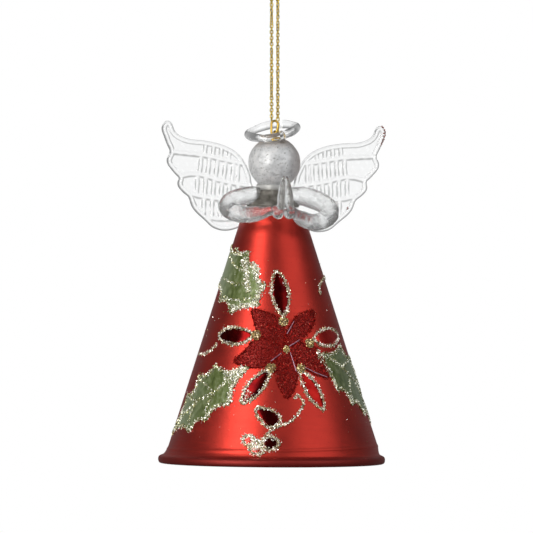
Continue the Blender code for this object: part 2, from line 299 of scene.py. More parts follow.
def fused(obj, voxel, smoothing):
    """Turns a piece's overlapping solids into one skin; voxel is in mm, smoothing in rounds."""
    remesh = obj.modifiers.new("fuse", "REMESH")
    remesh.mode = "VOXEL"
    remesh.voxel_size = voxel * MM
    remesh.use_smooth_shade = True
    smooth = obj.modifiers.new("smooth", "SMOOTH")
    smooth.iterations = smoothing
    smooth.factor = 0.5
    graph = bpy.context.evaluated_depsgraph_get()
    mesh = bpy.data.meshes.new_from_object(obj.evaluated_get(graph))
    obj.modifiers.clear()
    obj.data = mesh
    mesh.shade_smooth()


# ---------------------------------------------------------------- materials

class Nodes:
    """A shader tree being built; each method adds nodes and returns the output that matters."""

    def __init__(self, tree):
        self.tree = tree

    def plug(self, socket, value):
        if isinstance(value, bpy.types.NodeSocket):
            self.tree.links.new(value, socket)
        elif hasattr(value, "__len__") and len(value) == 3 and socket.type == "RGBA":
            socket.default_value = (*value, 1.0)
        else:
            socket.default_value = value

    def node(self, kind, settings=None, **inputs):
        made = self.tree.nodes.new("ShaderNode" + kind)
        for key, value in (settings or {}).items():
            setattr(made, key, value)
        for key, value in inputs.items():
            self.plug(made.inputs[key.replace("_", " ")], value)
        return made

    def ramp(self, value, *stops):
        """Colours or grey levels at places from 0 to 1: (place, colour)."""
        ramp = self.node("ValToRGB", Fac=value)
        elements = ramp.color_ramp.elements
        while len(elements) < len(stops):
            elements.new(0.5)
        for element, (place, colour) in zip(elements, stops):
            element.position = place
            element.color = (*(colour if hasattr(colour, "__len__") else [colour] * 3), 1.0)
        return ramp.outputs["Color"]

    def mix(self, share, first, second):
        mixer = self.node("Mix", {"data_type": "RGBA"})
        self.plug(mixer.inputs[0], share)
        self.plug(mixer.inputs[6], first)
        self.plug(mixer.inputs[7], second)
        return mixer.outputs[2]

    def maths(self, operation, first, second):
        made = self.node("Math", {"operation": operation})
        self.plug(made.inputs[0], first)
        self.plug(made.inputs[1], second)
        return made.outputs[0]

    def sum(self, first, second):
        return self.maths("ADD", first, second)

    def times(self, first, second):
        return self.maths("MULTIPLY", first, second)

    def span(self, value, low, high, to_low, to_high):
        ends = {"From_Min": low, "From_Max": high, "To_Min": to_low, "To_Max": to_high}
        return self.node("MapRange", Value=value, **ends).outputs["Result"]

    def spread(self, noise, to_low, to_high):
        """Noise, which seldom leaves 0.3 to 0.7, stretched over a range."""
        return self.span(noise, 0.3, 0.7, to_low, to_high)


class Finish(Nodes):
    """A material being built."""

    def __init__(self, name):
        self.material = bpy.data.materials.new(name)
        self.material.use_nodes = True
        super().__init__(self.material.node_tree)
        self.shader = self.tree.nodes["Principled BSDF"]
        self.place = self.node("TexCoord").outputs["Object"]

    def surface(self, **inputs):
        for key, value in inputs.items():
            self.plug(self.shader.inputs[key.replace("_", " ")], value)

    def stretched(self, x, y, z):
        return self.node("Mapping", Vector=self.place, Scale=(x, y, z)).outputs["Vector"]

    def noise(self, size, detail=2.0, place=None):
        """Soft noise from 0 to 1 with blotches about size mm across."""
        where = place or self.place
        return self.node("TexNoise", Vector=where, Scale=1.0 / (size * MM), Detail=detail).outputs["Fac"]

    def cells(self, size):
        """Cells about size mm across, each with its own level from 0 to 1."""
        cells = self.node("TexVoronoi", Vector=self.place, Scale=1.0 / (size * MM)).outputs["Color"]
        return self.node("SeparateColor", Color=cells).outputs["Red"]

    def height(self):
        """Height above the rim, in mm."""
        parts = self.node("SeparateXYZ", Vector=self.place)
        return self.times(parts.outputs["Z"], 1.0 / MM)

    def bump(self, height, depth):
        """Small relief, depth mm high."""
        made = self.node("Bump", Height=height, Distance=depth * MM)
        self.surface(Normal=made.outputs["Normal"])


GLASS_IOR = 1.5


def red_satin():
    """Red lacquer over silver: satin, with the faint rings that brushing it on left."""
    f = Finish("red_satin_lacquer")
    rings_round = f.noise(0.5, 3.0, f.stretched(0.06, 0.06, 1.0))
    blotches = f.noise(9.0, 3.0)
    grain = f.noise(0.22)
    colour = f.mix(f.spread(blotches, 0.0, 1.0), (0.42, 0.022, 0.013), (0.50, 0.030, 0.017))
    specks = f.span(f.noise(0.55, 1.0), 0.70, 0.74, 0.0, 0.6)
    colour = f.mix(specks, colour, (0.30, 0.008, 0.008))
    # wear and painted shade: the rolled lip below about 3 mm is painted a darker brown-red, partly standing in for
    # the dark floor it reflects, and is made rougher
    lip_wear_and_shade = f.span(f.height(), 2.3, 3.2, 1.0, 0.0)
    colour = f.mix(f.times(lip_wear_and_shade, 0.8), colour, (0.19, 0.014, 0.011))
    rough = f.sum(f.spread(rings_round, -0.05, 0.05), f.span(blotches, 0.2, 0.8, 0.37, 0.44))
    rough = f.sum(rough, f.times(lip_wear_and_shade, 0.14))
    f.surface(Base_Color=colour, Metallic=0.95, Roughness=rough, Coat_Weight=0.28, Coat_Roughness=0.5)
    f.bump(f.sum(f.times(rings_round, 0.5), grain), 0.012)
    return f.material


def silvered_inside():
    """The bell's silvered inner wall, a little tarnished."""
    f = Finish("silvered_inside")
    tarnish = f.noise(7.0, 4.0)
    colour = f.ramp(tarnish, (0.3, (0.30, 0.27, 0.22)), (0.55, (0.55, 0.54, 0.51)), (0.8, (0.68, 0.68, 0.67)))
    f.surface(Base_Color=colour, Metallic=0.9, Roughness=f.spread(tarnish, 0.42, 0.28))
    f.bump(f.noise(1.4, 3.0), 0.03)
    return f.material


def frosted_silver():
    """Frosted glass over silver: pale grey, mottled, with dark specks and a browner crown."""
    f = Finish("frosted_silver")
    mottle = f.noise(2.2, 5.0)
    colour = f.ramp(mottle, (0.25, (0.50, 0.51, 0.52)), (0.5, (0.68, 0.69, 0.70)), (0.75, (0.82, 0.82, 0.82)))
    specks = f.span(f.noise(0.6), 0.62, 0.68, 0.0, 0.8)
    colour = f.mix(specks, colour, (0.12, 0.11, 0.09))
    crown = node_box("head")[1].z
    brown = f.times(f.span(f.height(), crown - 4.5, crown - 0.8, 0.0, 1.3), mottle)
    colour = f.mix(brown, colour, (0.36, 0.24, 0.16))
    blemish = f.span(f.noise(2.4, 1.0, f.stretched(1.0, 1.0, 1.7)), 0.66, 0.70, 0.0, 0.35)
    colour = f.mix(blemish, colour, (0.40, 0.41, 0.42))
    sideways = f.node("SeparateXYZ", Vector=f.place).outputs["X"]
    flush = f.span(sideways, 4.0 * MM, 9.0 * MM, 0.0, 0.55)
    colour = f.mix(flush, colour, (0.66, 0.55, 0.50))
    f.surface(Base_Color=colour, Metallic=0.25, Roughness=f.spread(mottle, 0.62, 0.42))
    f.bump(f.sum(f.noise(0.35, 3.0), f.times(mottle, 2.0)), 0.05)
    return f.material


def silvered_collar():
    """Smoother silvered glass of the shoulder and neck, with an olive tint in its folds."""
    f = Finish("silvered_collar")
    tint = f.noise(3.0, 3.0)
    colour = f.ramp(tint, (0.3, (0.05, 0.045, 0.035)), (0.55, (0.16, 0.15, 0.13)), (0.8, (0.40, 0.39, 0.36)))
    top = node_box("neck_collar")[1].z
    colour = f.mix(f.span(f.height(), top - 0.5, top + 1.2, 0.0, 1.0), colour, (0.46, 0.46, 0.45))
    f.surface(Base_Color=colour, Metallic=0.35, Roughness=f.spread(tint, 0.55, 0.38))
    f.bump(f.noise(0.9, 3.0), 0.09)
    return f.material


def clear_glass():
    """Fire-polished clear glass with a slow ripple."""
    f = Finish("clear_glass")
    f.surface(Base_Color=(0.985, 0.99, 0.99), Transmission_Weight=1.0, IOR=GLASS_IOR)
    f.surface(Roughness=f.spread(f.noise(4.0), 0.0, 0.03))
    f.bump(f.noise(1.6), 0.05)
    return f.material


def drawn_glass():
    """Clear glass worked hot: streaks run up it, and folds break up what is seen through it."""
    f = Finish("drawn_glass")
    streaks = f.noise(0.7, 3.0, f.stretched(1.0, 1.0, 0.22))
    folds = f.noise(2.6, 3.0)
    f.surface(Base_Color=(0.97, 0.98, 0.98), Transmission_Weight=0.93, IOR=GLASS_IOR)
    f.surface(Roughness=f.spread(folds, 0.0, 0.06))
    f.bump(f.sum(streaks, f.times(folds, 2.6)), 0.25)
    return f.material


def plated_wire(name, pale, deep, rough):
    """Bright plated wire, deeper coloured where it is worn."""
    f = Finish(name)
    wear = f.noise(0.5, 3.0)
    f.surface(Base_Color=f.ramp(wear, (0.35, deep), (0.6, pale)), Metallic=1.0, Roughness=rough)
    f.bump(f.noise(0.12), 0.01)
    return f.material


def leaf_enamel():
    """Green enamel thinly brushed over the silver, paler where it is thin, with a painted sheen that turns it
    grey-green where it is seen edge-on.
    """
    f = Finish("leaf_enamel")
    strokes = f.noise(1.6, 4.0, f.stretched(1.0, 1.0, 0.6))
    colour = f.ramp(
        strokes, (0.25, (0.050, 0.076, 0.013)), (0.5, (0.125, 0.165, 0.045)), (0.8, (0.29, 0.33, 0.19))
    )
    # painted sheen: the enamel is mixed towards pale grey-green where it faces away from the view
    aside = f.node("LayerWeight", Blend=0.5).outputs["Facing"]
    colour = f.mix(f.span(aside, 0.35, 0.85, 0.0, 0.9), colour, (0.36, 0.42, 0.29))
    grain = f.noise(0.25)
    f.surface(Base_Color=colour, Metallic=0.35, Roughness=f.spread(grain, 0.38, 0.52))
    f.bump(f.sum(grain, strokes), 0.03)
    return f.material


def window_red(name, dark, light, metallic):
    """The patches left without lacquer: deep red glass with the silver showing through, in darker and lighter
    copies that are painted shade and painted light.
    """
    f = Finish(name)
    depth = f.noise(3.0)
    rough = f.spread(f.noise(1.0, 3.0), 0.16, 0.24)
    f.surface(Base_Color=f.ramp(depth, (0.3, dark), (0.7, light)), Metallic=metallic, Roughness=rough)
    f.bump(f.noise(1.8), 0.03)
    return f.material


def glitter(name, *stops, rough=0.22, metallic=1.0, painted_glint_strength=0.0):
    """Glitter chips, each with its own tone; the glint strength is how strongly the brightest of them glow, a
    painted glint standing in for the lamps' reflections.
    """
    f = Finish(name)
    tone = f.node("Attribute", {"attribute_name": "tone"}).outputs["Fac"]
    f.surface(Base_Color=f.ramp(tone, *stops), Metallic=metallic)
    f.surface(Roughness=f.span(tone, 0.0, 1.0, rough + 0.15, rough))
    # painted glints: the brightest chips glow a warm white of their own
    f.surface(Emission_Color=(1.0, 0.98, 0.90), Emission_Strength=f.span(tone, 0.78, 0.84, 0.0, painted_glint_strength))
    return f.material


def glue(name, dark, light):
    """The bed that glitter sits in: rough, speckled with chips too small to model."""
    f = Finish(name)
    shade = f.cells(0.22)
    f.surface(Base_Color=f.ramp(shade, (0.2, dark), (0.9, light)), Metallic=0.7)
    f.surface(Roughness=f.span(shade, 0.0, 1.0, 0.6, 0.3))
    f.bump(shade, 0.06)
    return f.material


def painted_lilac():
    f = Finish("lilac_enamel")
    shade = f.noise(0.8)
    colour = f.ramp(shade, (0.3, (0.34, 0.13, 0.20)), (0.7, (0.62, 0.36, 0.45)))
    f.surface(Base_Color=colour, Metallic=0.3, Roughness=0.25)
    f.bump(shade, 0.02)
    return f.material


def pale_floor():
    f = Finish("pale_floor")
    shade = f.ramp(f.noise(60.0, 3.0), (0.3, 0.93), (0.7, 0.95))
    path = f.node("LightPath")
    seen = f.maths("MAXIMUM", path.outputs["Is Camera Ray"], path.outputs["Is Transmission Ray"])
    f.surface(Base_Color=(0.04, 0.04, 0.04), Roughness=0.9, Emission_Color=shade)
    f.surface(Emission_Strength=f.span(seen, 0.0, 1.0, 0.13, 1.0))
    incoming = f.node("NewGeometry").outputs["Incoming"]
    facing = f.node("SeparateXYZ", Vector=incoming).outputs["Z"]
    f.surface(Alpha=f.span(facing, -0.001, 0.001, 0.0, 1.0))  # not there when seen from below
    return f.material


# ---------------------------------------------------------------- stage, light and camera

FLOOR_DROP = 500.0  # how far the floor is below the hanging bell
FLOOR_RADIUS = 2600.0
FLOOR_THICKNESS = 5.0

# Grey levels from behind the camera (0) to straight ahead of it (1): of the room, and as seen through glass
ROOM_LEVELS = [(0.0, 0.22), (0.35, 0.20), (0.6, 0.17), (1.0, 0.22)]
GLASS_LEVELS = [(0.0, 0.07), (0.5, 0.14), (0.8, 0.24), (0.92, 0.40), (0.96, 0.58), (0.985, 0.86),
                (0.996, 1.0)]

# Softboxes: (name, degrees right of the camera, height of centre, distance, width, height, power, colour)
SOFTBOXES = [
    ("key", -39.5, 330.0, 900.0, 450.0, 1000.0, 8.2, (1.0, 0.98, 0.95)),
    ("fill", 51.5, 540.0, 1000.0, 980.0, 1000.0, 3.9, (0.97, 0.98, 1.0)),
]


def floor():
    under = -FLOOR_DROP - FLOOR_THICKNESS
    profile = [(0.0, -FLOOR_DROP), (FLOOR_RADIUS, -FLOOR_DROP), (FLOOR_RADIUS, under), (0.0, under)]
    linked("floor", solid_mesh("floor", turned(profile, 96)), pale_floor())


def world_light():
    """A white backdrop behind the object as the camera sees it, and a grey room for reflections. Glass shows
    the room darker behind the camera, which gives it grey edges."""
    world = bpy.data.worlds.new("studio")
    bpy.context.scene.world = world
    world.use_nodes = True
    world.node_tree.nodes.clear()
    w = Nodes(world.node_tree)
    way = w.node("SeparateXYZ", Vector=w.node("TexCoord").outputs["Camera"])
    ahead = w.span(way.outputs["Z"], -1.0, 1.0, 0.0, 1.0)
    path = w.node("LightPath").outputs
    room = w.mix(path["Is Transmission Ray"], w.ramp(ahead, *ROOM_LEVELS), w.ramp(ahead, *GLASS_LEVELS))
    seen = w.mix(path["Is Camera Ray"], room, (1.0, 1.0, 1.0))
    w.node("OutputWorld", Surface=w.node("Background", Color=seen).outputs[0])


def aimed(name, data, place, towards):
    """A light or camera at a place in mm, looking along a direction."""
    obj = bpy.data.objects.new(name, data)
    bpy.context.scene.collection.objects.link(obj)
    obj.location = place * MM
    obj.rotation_mode = "QUATERNION"
    obj.rotation_quaternion = towards.to_track_quat("-Z", "Y")
    return obj


def softboxes():
    middle = Vector((0.0, 0.0, CAMERA_HEIGHT))
    for name, turn, height, distance, width, tall, power, colour in SOFTBOXES:
        light = bpy.data.lights.new(name, "AREA")
        light.shape = "RECTANGLE"
        light.size = width * MM
        light.size_y = tall * MM
        light.energy = power
        light.color = colour
        place = distance * outwards(math.radians(CAMERA_AZIMUTH + turn)) + Vector((0.0, 0.0, height))
        aimed(name, light, place, middle - place).visible_camera = False


def camera():
    azimuth = math.radians(CAMERA_AZIMUTH)
    right = Vector((math.cos(azimuth), math.sin(azimuth), 0.0))
    back = outwards(azimuth)
    data = bpy.data.cameras.new("camera")
    data.sensor_width = SENSOR_WIDTH
    data.lens = SENSOR_WIDTH * CAMERA_DISTANCE / PICTURE_WIDTH
    place = CAMERA_SHIFT * right + CAMERA_DISTANCE * back + Vector((0.0, 0.0, CAMERA_HEIGHT))
    scene = bpy.context.scene
    scene.camera = aimed("camera", data, place, -back)
    scene.view_settings.view_transform = "Standard"


# ---------------------------------------------------------------- dress, collar and head

DRESS_STEPS = 240
CREASE_HEIGHT = 5.9  # the bead where the cone meets the flared lip
CREASE_SIZE = 0.17
CREASE_WIDTH = 0.55
CREASE_TILT = 0.5  # how much higher it is on the +X side
SHOULDER_ROUND = 2.0
FINE_BELOW = 9.0  # height below which the profile's rings are closer together
LIP_INSIDE = 8  # how many points of the lip already belong to the inner side
LIP_ZONE = (2.5, 6.5)  # heights between which the lip's offset fades out
LIP_ASIDE = -0.55  # along X
LIP_LEAN = math.radians(0.35)  # the +X side hangs lower


def wobble(angle, height):
    """How far hand-blown glass strays from a true cone, in mm."""
    slow = math.sin(2 * angle + 0.6 + height / 31.0)
    quick = math.sin(3 * angle + 2.0 - height / 17.0)
    return 0.07 * slow + 0.04 * quick


def dress_radius(height):
    """Radius of the dress's outer cone."""
    return CONE_FOOT[0] + CONE_SLOPE * (CONE_FOOT[1] - height)


def dress_profile():
    """Outer side from the crown's middle down, round the lip and up the inner side; and how many of the
    points are outside."""
    all_rings = rings("bell_skirt")
    crown = max(z for _, z in all_rings)
    ceiling = min(all_rings)
    wall_top = min(ring for ring in all_rings if ring[1] < CONE_TOP[1])
    slope = math.atan(CONE_SLOPE)
    middle_r = CONE_TOP[0] - SHOULDER_ROUND * math.cos(slope)
    middle_z = CONE_TOP[1] - SHOULDER_ROUND * math.sin(slope)
    shoulder = [
        (middle_r + SHOULDER_ROUND * math.cos(a), middle_z + SHOULDER_ROUND * math.sin(a))
        for a in np.linspace(math.pi / 2, slope, 9)
    ]
    heights = list(np.linspace(CONE_TOP[1], FINE_BELOW, 56)[1:])
    heights += list(np.linspace(FINE_BELOW, CONE_FOOT[1], 20)[1:-1])
    lip = lip_profile(all_rings)
    outside = [(0.0, crown), (4.0, crown - 0.1), (middle_r - 1.0, crown - 0.4)] + shoulder
    outside += [(dress_radius(z), z) for z in heights] + lip
    wall = [tuple(p) for p in np.linspace(lip[-1], wall_top, 30)[1:]]
    inside = wall + [ceiling, (ceiling[0] / 2, ceiling[1]), (0.0, ceiling[1])]
    return outside + inside, len(outside) - LIP_INSIDE


def lip_profile(all_rings):
    """The rolled lip, smoothed through the CAD's rings from the outer cone's foot to the inner one's."""
    foot = [(r, z) for r, z in all_rings if z < CONE_FOOT[1] + 0.1]
    middle = (sum(r for r, _ in foot) / len(foot), sum(z for _, z in foot) / len(foot))
    start = math.atan2(CONE_FOOT[1] - middle[1], CONE_FOOT[0] - middle[0])

    def turn(point):
        return (start - math.atan2(point[1] - middle[1], point[0] - middle[0]) + 0.01) % (2 * math.pi)

    return [tuple(p) for p in smooth_path(sorted(foot, key=turn), 6)]


def lip_settled(vertex):
    """The lip was rolled by hand: it sits a little to one side of the cone and leans."""
    x, y, z = vertex
    share = eased(min(1.0, max(0.0, (LIP_ZONE[1] - z) / (LIP_ZONE[1] - LIP_ZONE[0]))))
    return x + LIP_ASIDE * share, y, z - LIP_LEAN * x * share


def dress():
    profile, outside = dress_profile()

    def blown(angle, radius, height):
        above = height - CREASE_HEIGHT - CREASE_TILT * math.sin(angle)
        crease = CREASE_SIZE * math.exp(-(above / CREASE_WIDTH) ** 2)
        return radius + wobble(angle, height) * min(1.0, radius / CONE_TOP[0]) + crease

    vertices, faces = turned(profile, DRESS_STEPS, blown)
    solid = [lip_settled(v) for v in vertices], faces
    mesh = stand_in("dress", solid, red_satin(), "bell_skirt").data
    mesh.materials.append(silvered_inside())
    for polygon in mesh.polygons:
        row = min(i // DRESS_STEPS for i in polygon.vertices if i < len(vertices) - 2)
        polygon.material_index = 1 if row >= outside - 1 else 0


def collar():
    outer = sorted((ring for ring in rings("neck_collar") if ring[0] > 0.01), key=lambda ring: -ring[1])
    low, high = node_box("neck_collar")
    side = [tuple(p) for p in smooth_path(outer, 5)]
    neck = side[0][0]
    profile = [(0.0, high.z), (neck * 0.6, high.z)]
    # the glass runs up from the neck and hugs the head's underside
    profile += [(neck + out, high.z + up) for out, up in ((-0.7, 0.0), (-0.3, 1.5), (0.2, 2.2), (0.5, 1.4))]
    profile += side + [(side[-1][0] * 0.6, low.z), (0.0, low.z)]

    def blown(angle, radius, height):
        return radius + 1.5 * wobble(2 * angle, 4 * height) * min(1.0, radius / 6.0)

    stand_in("collar", turned(profile, 96, blown), silvered_collar(), "neck_collar")


HEAD_PITS = 90


def head():
    """A frosted ball, a little uneven, with fine pits; no face."""
    centre, half = node_middle("head")
    radius = half.z
    chance = random.Random(11)
    pits = []
    for _ in range(HEAD_PITS):
        way = Vector([chance.gauss(0.0, 1.0) for _ in range(3)]).normalized()
        pits.append((way, chance.uniform(0.15, 0.45), chance.uniform(0.05, 0.16)))
    work = bmesh.new()
    bmesh.ops.create_icosphere(work, subdivisions=6, radius=1.0)
    for vertex in work.verts:
        way = vertex.co.normalized()
        size = radius + 0.16 * noise.noise(way * 2.3) + 0.05 * noise.noise(way * 9.0)
        for pit, width, depth in pits:
            gap = (way - pit).length * radius
            if gap < 2.5 * width:
                size -= depth * math.exp(-(gap / width) ** 2)
        vertex.co = (centre + way * size) * MM
    mesh = bpy.data.meshes.new("frosted_head")
    work.to_mesh(mesh)
    work.free()
    mesh.shade_smooth()
    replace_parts(piece("frosted_head", mesh, frosted_silver(), "head"), "head")


# ---------------------------------------------------------------- wings

GLASS_STEP = 0.36  # how fine the wings' surface is
EDGE_ROUND = 1.1
WING_BODY = 0.72  # share of the CAD's thickness that the plain glass has
WING_PIVOT = (8.0, 100.0)  # spread, height: where a wing's droop turns
WING_DROOP = {"left": 0.0, "right": math.radians(3.0)}  # how far the outer end hangs down

# What is raised on the front: (half width, height)
RIDGE = (0.30, 0.85)
BAR = (0.20, 0.70)
RIM = (1.10, 0.90)
RIM_FALL = 0.7
BACK_RIM = 0.2  # height of the rim at the back

# Raised lines pressed into the glass, as (spread from the mirror plane, height) points
FEATHER_RIDGES = [
    [(37.9, 114.0), (36.0, 113.8), (25.6, 112.7), (19.0, 111.3), (11.0, 109.6)],
    [(34.7, 104.4), (32.3, 105.4), (26.8, 105.6), (18.3, 103.2), (8.5, 101.5)],
    [(31.1, 97.4), (30.1, 98.5), (26.8, 97.7), (19.4, 96.6), (6.0, 95.0)],
    [(25.2, 88.9), (24.5, 89.8), (17.6, 89.3), (9.0, 90.5)],
]
FEATHER_BARS = [
    [(24.6, 117.0), (24.9, 113.2)], [(21.6, 116.6), (21.9, 112.6)], [(18.7, 115.8), (19.0, 111.9)],
    [(15.7, 114.4), (16.1, 111.1)],
    [(26.2, 112.2), (26.8, 106.2)], [(23.2, 111.9), (23.9, 105.6)], [(20.2, 111.3), (20.9, 104.8)],
    [(17.2, 110.6), (17.9, 103.9)], [(14.2, 109.9), (14.8, 103.2)],
    [(27.6, 105.2), (27.9, 98.6)], [(24.6, 104.9), (24.9, 98.0)], [(21.6, 103.9), (21.9, 97.6)],
    [(18.6, 102.8), (19.0, 97.2)], [(15.8, 102.2), (16.2, 97.0)],
    [(25.2, 97.0), (25.4, 90.2)], [(22.2, 96.8), (22.4, 90.0)], [(19.2, 96.2), (19.4, 89.8)],
    [(12.6, 109.0), (13.0, 103.0), (12.2, 97.0)],
]


def wing_outline(node):
    """The (x, z) outline of a wing's front face, in order, from the CAD mesh."""
    work = welded(node)
    counts = {}
    for face in work.faces:
        if face.normal.y < -0.9:
            for edge in face.edges:
                counts[edge] = counts.get(edge, 0) + 1
    neighbours = {}
    border = [edge for edge, count in counts.items() if count == 1]
    for edge in border:
        for here, there in (edge.verts, reversed(edge.verts)):
            neighbours.setdefault(here, []).append(there)
    start = border[0].verts[0]
    loop, before, here = [], None, start
    while here is not start or not loop:
        loop.append(here)
        before, here = here, next(v for v in neighbours[here] if v is not before)
    outline = np.array([(v.co.x / MM, v.co.z / MM) for v in loop])
    work.free()
    return outline


def distance_to_lines(points, lines, closed=False):
    """Distance of each (x, z) point from the nearest of some polylines."""
    nearest = np.full(len(points), 1e9)
    for line in lines:
        knots = np.array(line, float)
        ends = np.roll(knots, -1, axis=0) if closed else knots[1:]
        for a, b in zip(knots if closed else knots[:-1], ends):
            along = b - a
            share = np.clip(((points - a) @ along) / max(along @ along, 1e-9), 0.0, 1.0)
            nearest = np.minimum(nearest, np.linalg.norm(points - a - share[:, None] * along, axis=1))
    return nearest


def filled(outline, step, seed):
    """Vertices (x, y) and triangles that fill an outline with a grid about step apart, edge points first."""
    border = evenly(outline, step, closed=True)
    chance = np.random.default_rng(seed)
    low, high = border.min(0), border.max(0)
    grid = []
    for i, y in enumerate(np.arange(low[1], high[1], step * 0.87)):
        grid += [(x, y) for x in np.arange(low[0] + (i % 2) * step / 2, high[0], step)]
    grid = np.array(grid) + chance.normal(0.0, step * 0.03, (len(grid), 2))
    grid = grid[within(grid, border)]
    grid = grid[distance_to_lines(grid, [border], closed=True) > step * 0.55]
    points = [Vector(p) for p in np.vstack([border, grid])]
    edges = [(i, (i + 1) % len(border)) for i in range(len(border))]
    made, _, triangles, _, _, _ = delaunay_2d_cdt(points, edges, [list(range(len(border)))], 1, 1e-6)
    return np.array([tuple(p) for p in made]), [tuple(t) for t in triangles], len(border)


def within(points, outline):
    """Which points are inside a closed outline."""
    inside = np.zeros(len(points), bool)
    a, b = outline, np.roll(outline, -1, axis=0)
    for (ax, ay), (bx, by) in zip(a, b):
        crosses = (ay > points[:, 1]) != (by > points[:, 1])
        if ay != by:
            at = (bx - ax) * (points[:, 1] - ay) / (by - ay) + ax
            inside ^= crosses & (points[:, 0] < at)
    return inside


def wing(side, sign, glass):
    """Pressed glass: flat at the back, with feather ridges and a rolled rim on the front."""
    node = "wing_" + side
    outline = smooth_path(evenly(wing_outline(node), 1.2, closed=True), 4, closed=True)
    outline = evenly(outline, GLASS_STEP, closed=True)
    points, triangles, border = filled(outline, GLASS_STEP, 5)
    middle, half = node_middle(node)
    edge = distance_to_lines(points, [outline], closed=True)
    cos, sin = math.cos(WING_DROOP[side]), math.sin(WING_DROOP[side])
    spread = np.stack([sign * (points[:, 0] - wing_mirror_x()), points[:, 1]], axis=1) - WING_PIVOT
    spread = spread @ np.array([[cos, sin], [-sin, cos]]) + WING_PIVOT
    ridge = band(distance_to_lines(spread, [smooth_path(r, 6) for r in FEATHER_RIDGES]), RIDGE[0])
    bar = band(distance_to_lines(spread, FEATHER_BARS), BAR[0])
    rim = band(edge, RIM[0], RIM_FALL)
    relief = np.max([RIDGE[1] * ridge, BAR[1] * bar, RIM[1] * rim], axis=0)
    round_off = np.sqrt(1.0 - (1.0 - np.clip(edge / EDGE_ROUND, 0.0, 1.0)) ** 2)
    pillow = 0.12 * np.sin(spread[:, 0] * 1.9) * np.sin(spread[:, 1] * 1.3 + 0.7)
    front = middle.y - (WING_BODY * half.y + relief + pillow) * round_off
    back = middle.y + (WING_BODY * half.y + BACK_RIM * rim) * round_off
    vertices = [(x, y, z) for face in (front, back) for (x, z), y in zip(points, face)]
    stand_in("pressed_" + node, two_sided(vertices, triangles, border, len(points)), glass, node)


def eased(share):
    """A share of 0 to 1 that starts and ends gently."""
    return share * share * (3 - 2 * share)


def band(distance, half_width, fall=0.95):
    """A raised band's height: 1 within half_width of its line, and eased down to 0 over the next fall mm."""
    return eased(np.clip((half_width + fall - distance) / fall, 0.0, 1.0))


def two_sided(vertices, triangles, border, back):
    """A closed solid from a front layer of vertices and a back one, which starts at the index back. Both use
    the front's border vertices, which come first."""
    across = list(range(border)) + list(range(back + border, 2 * back))
    faces = list(triangles) + [tuple(across[i] for i in reversed(t)) for t in triangles]
    used = sorted({i for face in faces for i in face})
    place = {old: new for new, old in enumerate(used)}
    return [vertices[i] for i in used], [tuple(place[i] for i in face) for face in faces]


LOW_SPECK = (28.8, 93.3)  # one drip on the right wing's lowest feather, (x, z)


def wing_specks():
    """Drips of the red lacquer along the outer edge of the right wing's tip."""
    chance = random.Random(7)
    low, high = node_box("wing_right")
    outline = evenly(wing_outline("wing_right"), 0.5, closed=True)
    tip = outline[outline[:, 0].argmax()]
    near = [p for p in outline if p[0] > high.x - 1.6 and abs(p[1] - tip[1]) < 4.5]
    spots = [(p[0] - chance.uniform(0.2, 0.9), p[1]) for p in near for _ in range(2)]
    for _ in range(4):
        spots.append((LOW_SPECK[0] + chance.uniform(-0.4, 0.4), LOW_SPECK[1] + chance.uniform(-0.3, 0.3)))
    specks = []
    for x, z in spots:
        centre = Vector((x, low.y + 0.3, z + chance.uniform(-0.2, 0.2)))
        specks.append(ball_solid(centre, chance.uniform(0.16, 0.34), 5, 7))
    red = Finish("dripped_lacquer")
    red.surface(Base_Color=(0.30, 0.07, 0.05), Roughness=0.45)
    on_bell("lacquer_specks", specks, red.material)


def wing_mirror_x():
    """The wings' mirror plane: midway between the two root edges."""
    left, right = node_box("wing_left"), node_box("wing_right")
    return (left[1].x + right[0].x) / 2


# ---------------------------------------------------------------- arms, halo and hanging eye

ARM_SWELL = 0.75  # how much fuller the melted glass is than the CAD's plain rods
FINGER_DROP = 1.1
HANDS_LEAN = 1.1  # how far each hand's finger tips lean towards the other hand
WELD_RADIUS = 2.0  # of the gather of glass that joins arm and hand
SKIN_VOXEL = 0.28
SKIN_ROUNDS = 6
SWELL_REACH = 3.0  # how far behind the hand the arm has its full swell
HAND_SWELL = 0.12  # the hand's share of the swell


def arm_and_hand(side, glass):
    """Arm and hand fused at the wrist into one smooth, solid gather of glass, from the CAD's solids."""
    (arm, arm_faces), (hand, hand_faces) = cad_solid("arm_" + side), cad_solid("hand_" + side)
    low, high = node_box("hand_" + side)
    middle = (node_box("hand_left")[1].x + node_box("hand_right")[0].x) / 2
    inwards = math.copysign(HANDS_LEAN, middle - (low.x + high.x) / 2)
    shares = [(v.z - low.z) / (high.z - low.z) for v in hand]
    hand = [v + Vector((inwards * share ** 2, 0.0, -FINGER_DROP * share)) for v, share in zip(hand, shares)]
    wrist, palm = np.array(arm), np.array(hand)
    gaps = np.linalg.norm(wrist[:, None, :] - palm[None, :, :], axis=2)
    i, j = np.unravel_index(gaps.argmin(), gaps.shape)
    weld = ball_solid(Vector((wrist[i] + palm[j]) / 2), WELD_RADIUS)
    solid = joined([(arm, arm_faces), (hand, hand_faces), weld])
    obj = stand_in("arm_and_hand_" + side, solid, glass, "arm_" + side, "hand_" + side)
    fused(obj, SKIN_VOXEL, SKIN_ROUNDS)
    swell(obj.data, high.y)
    obj.data.materials.clear()
    obj.data.materials.append(glass)


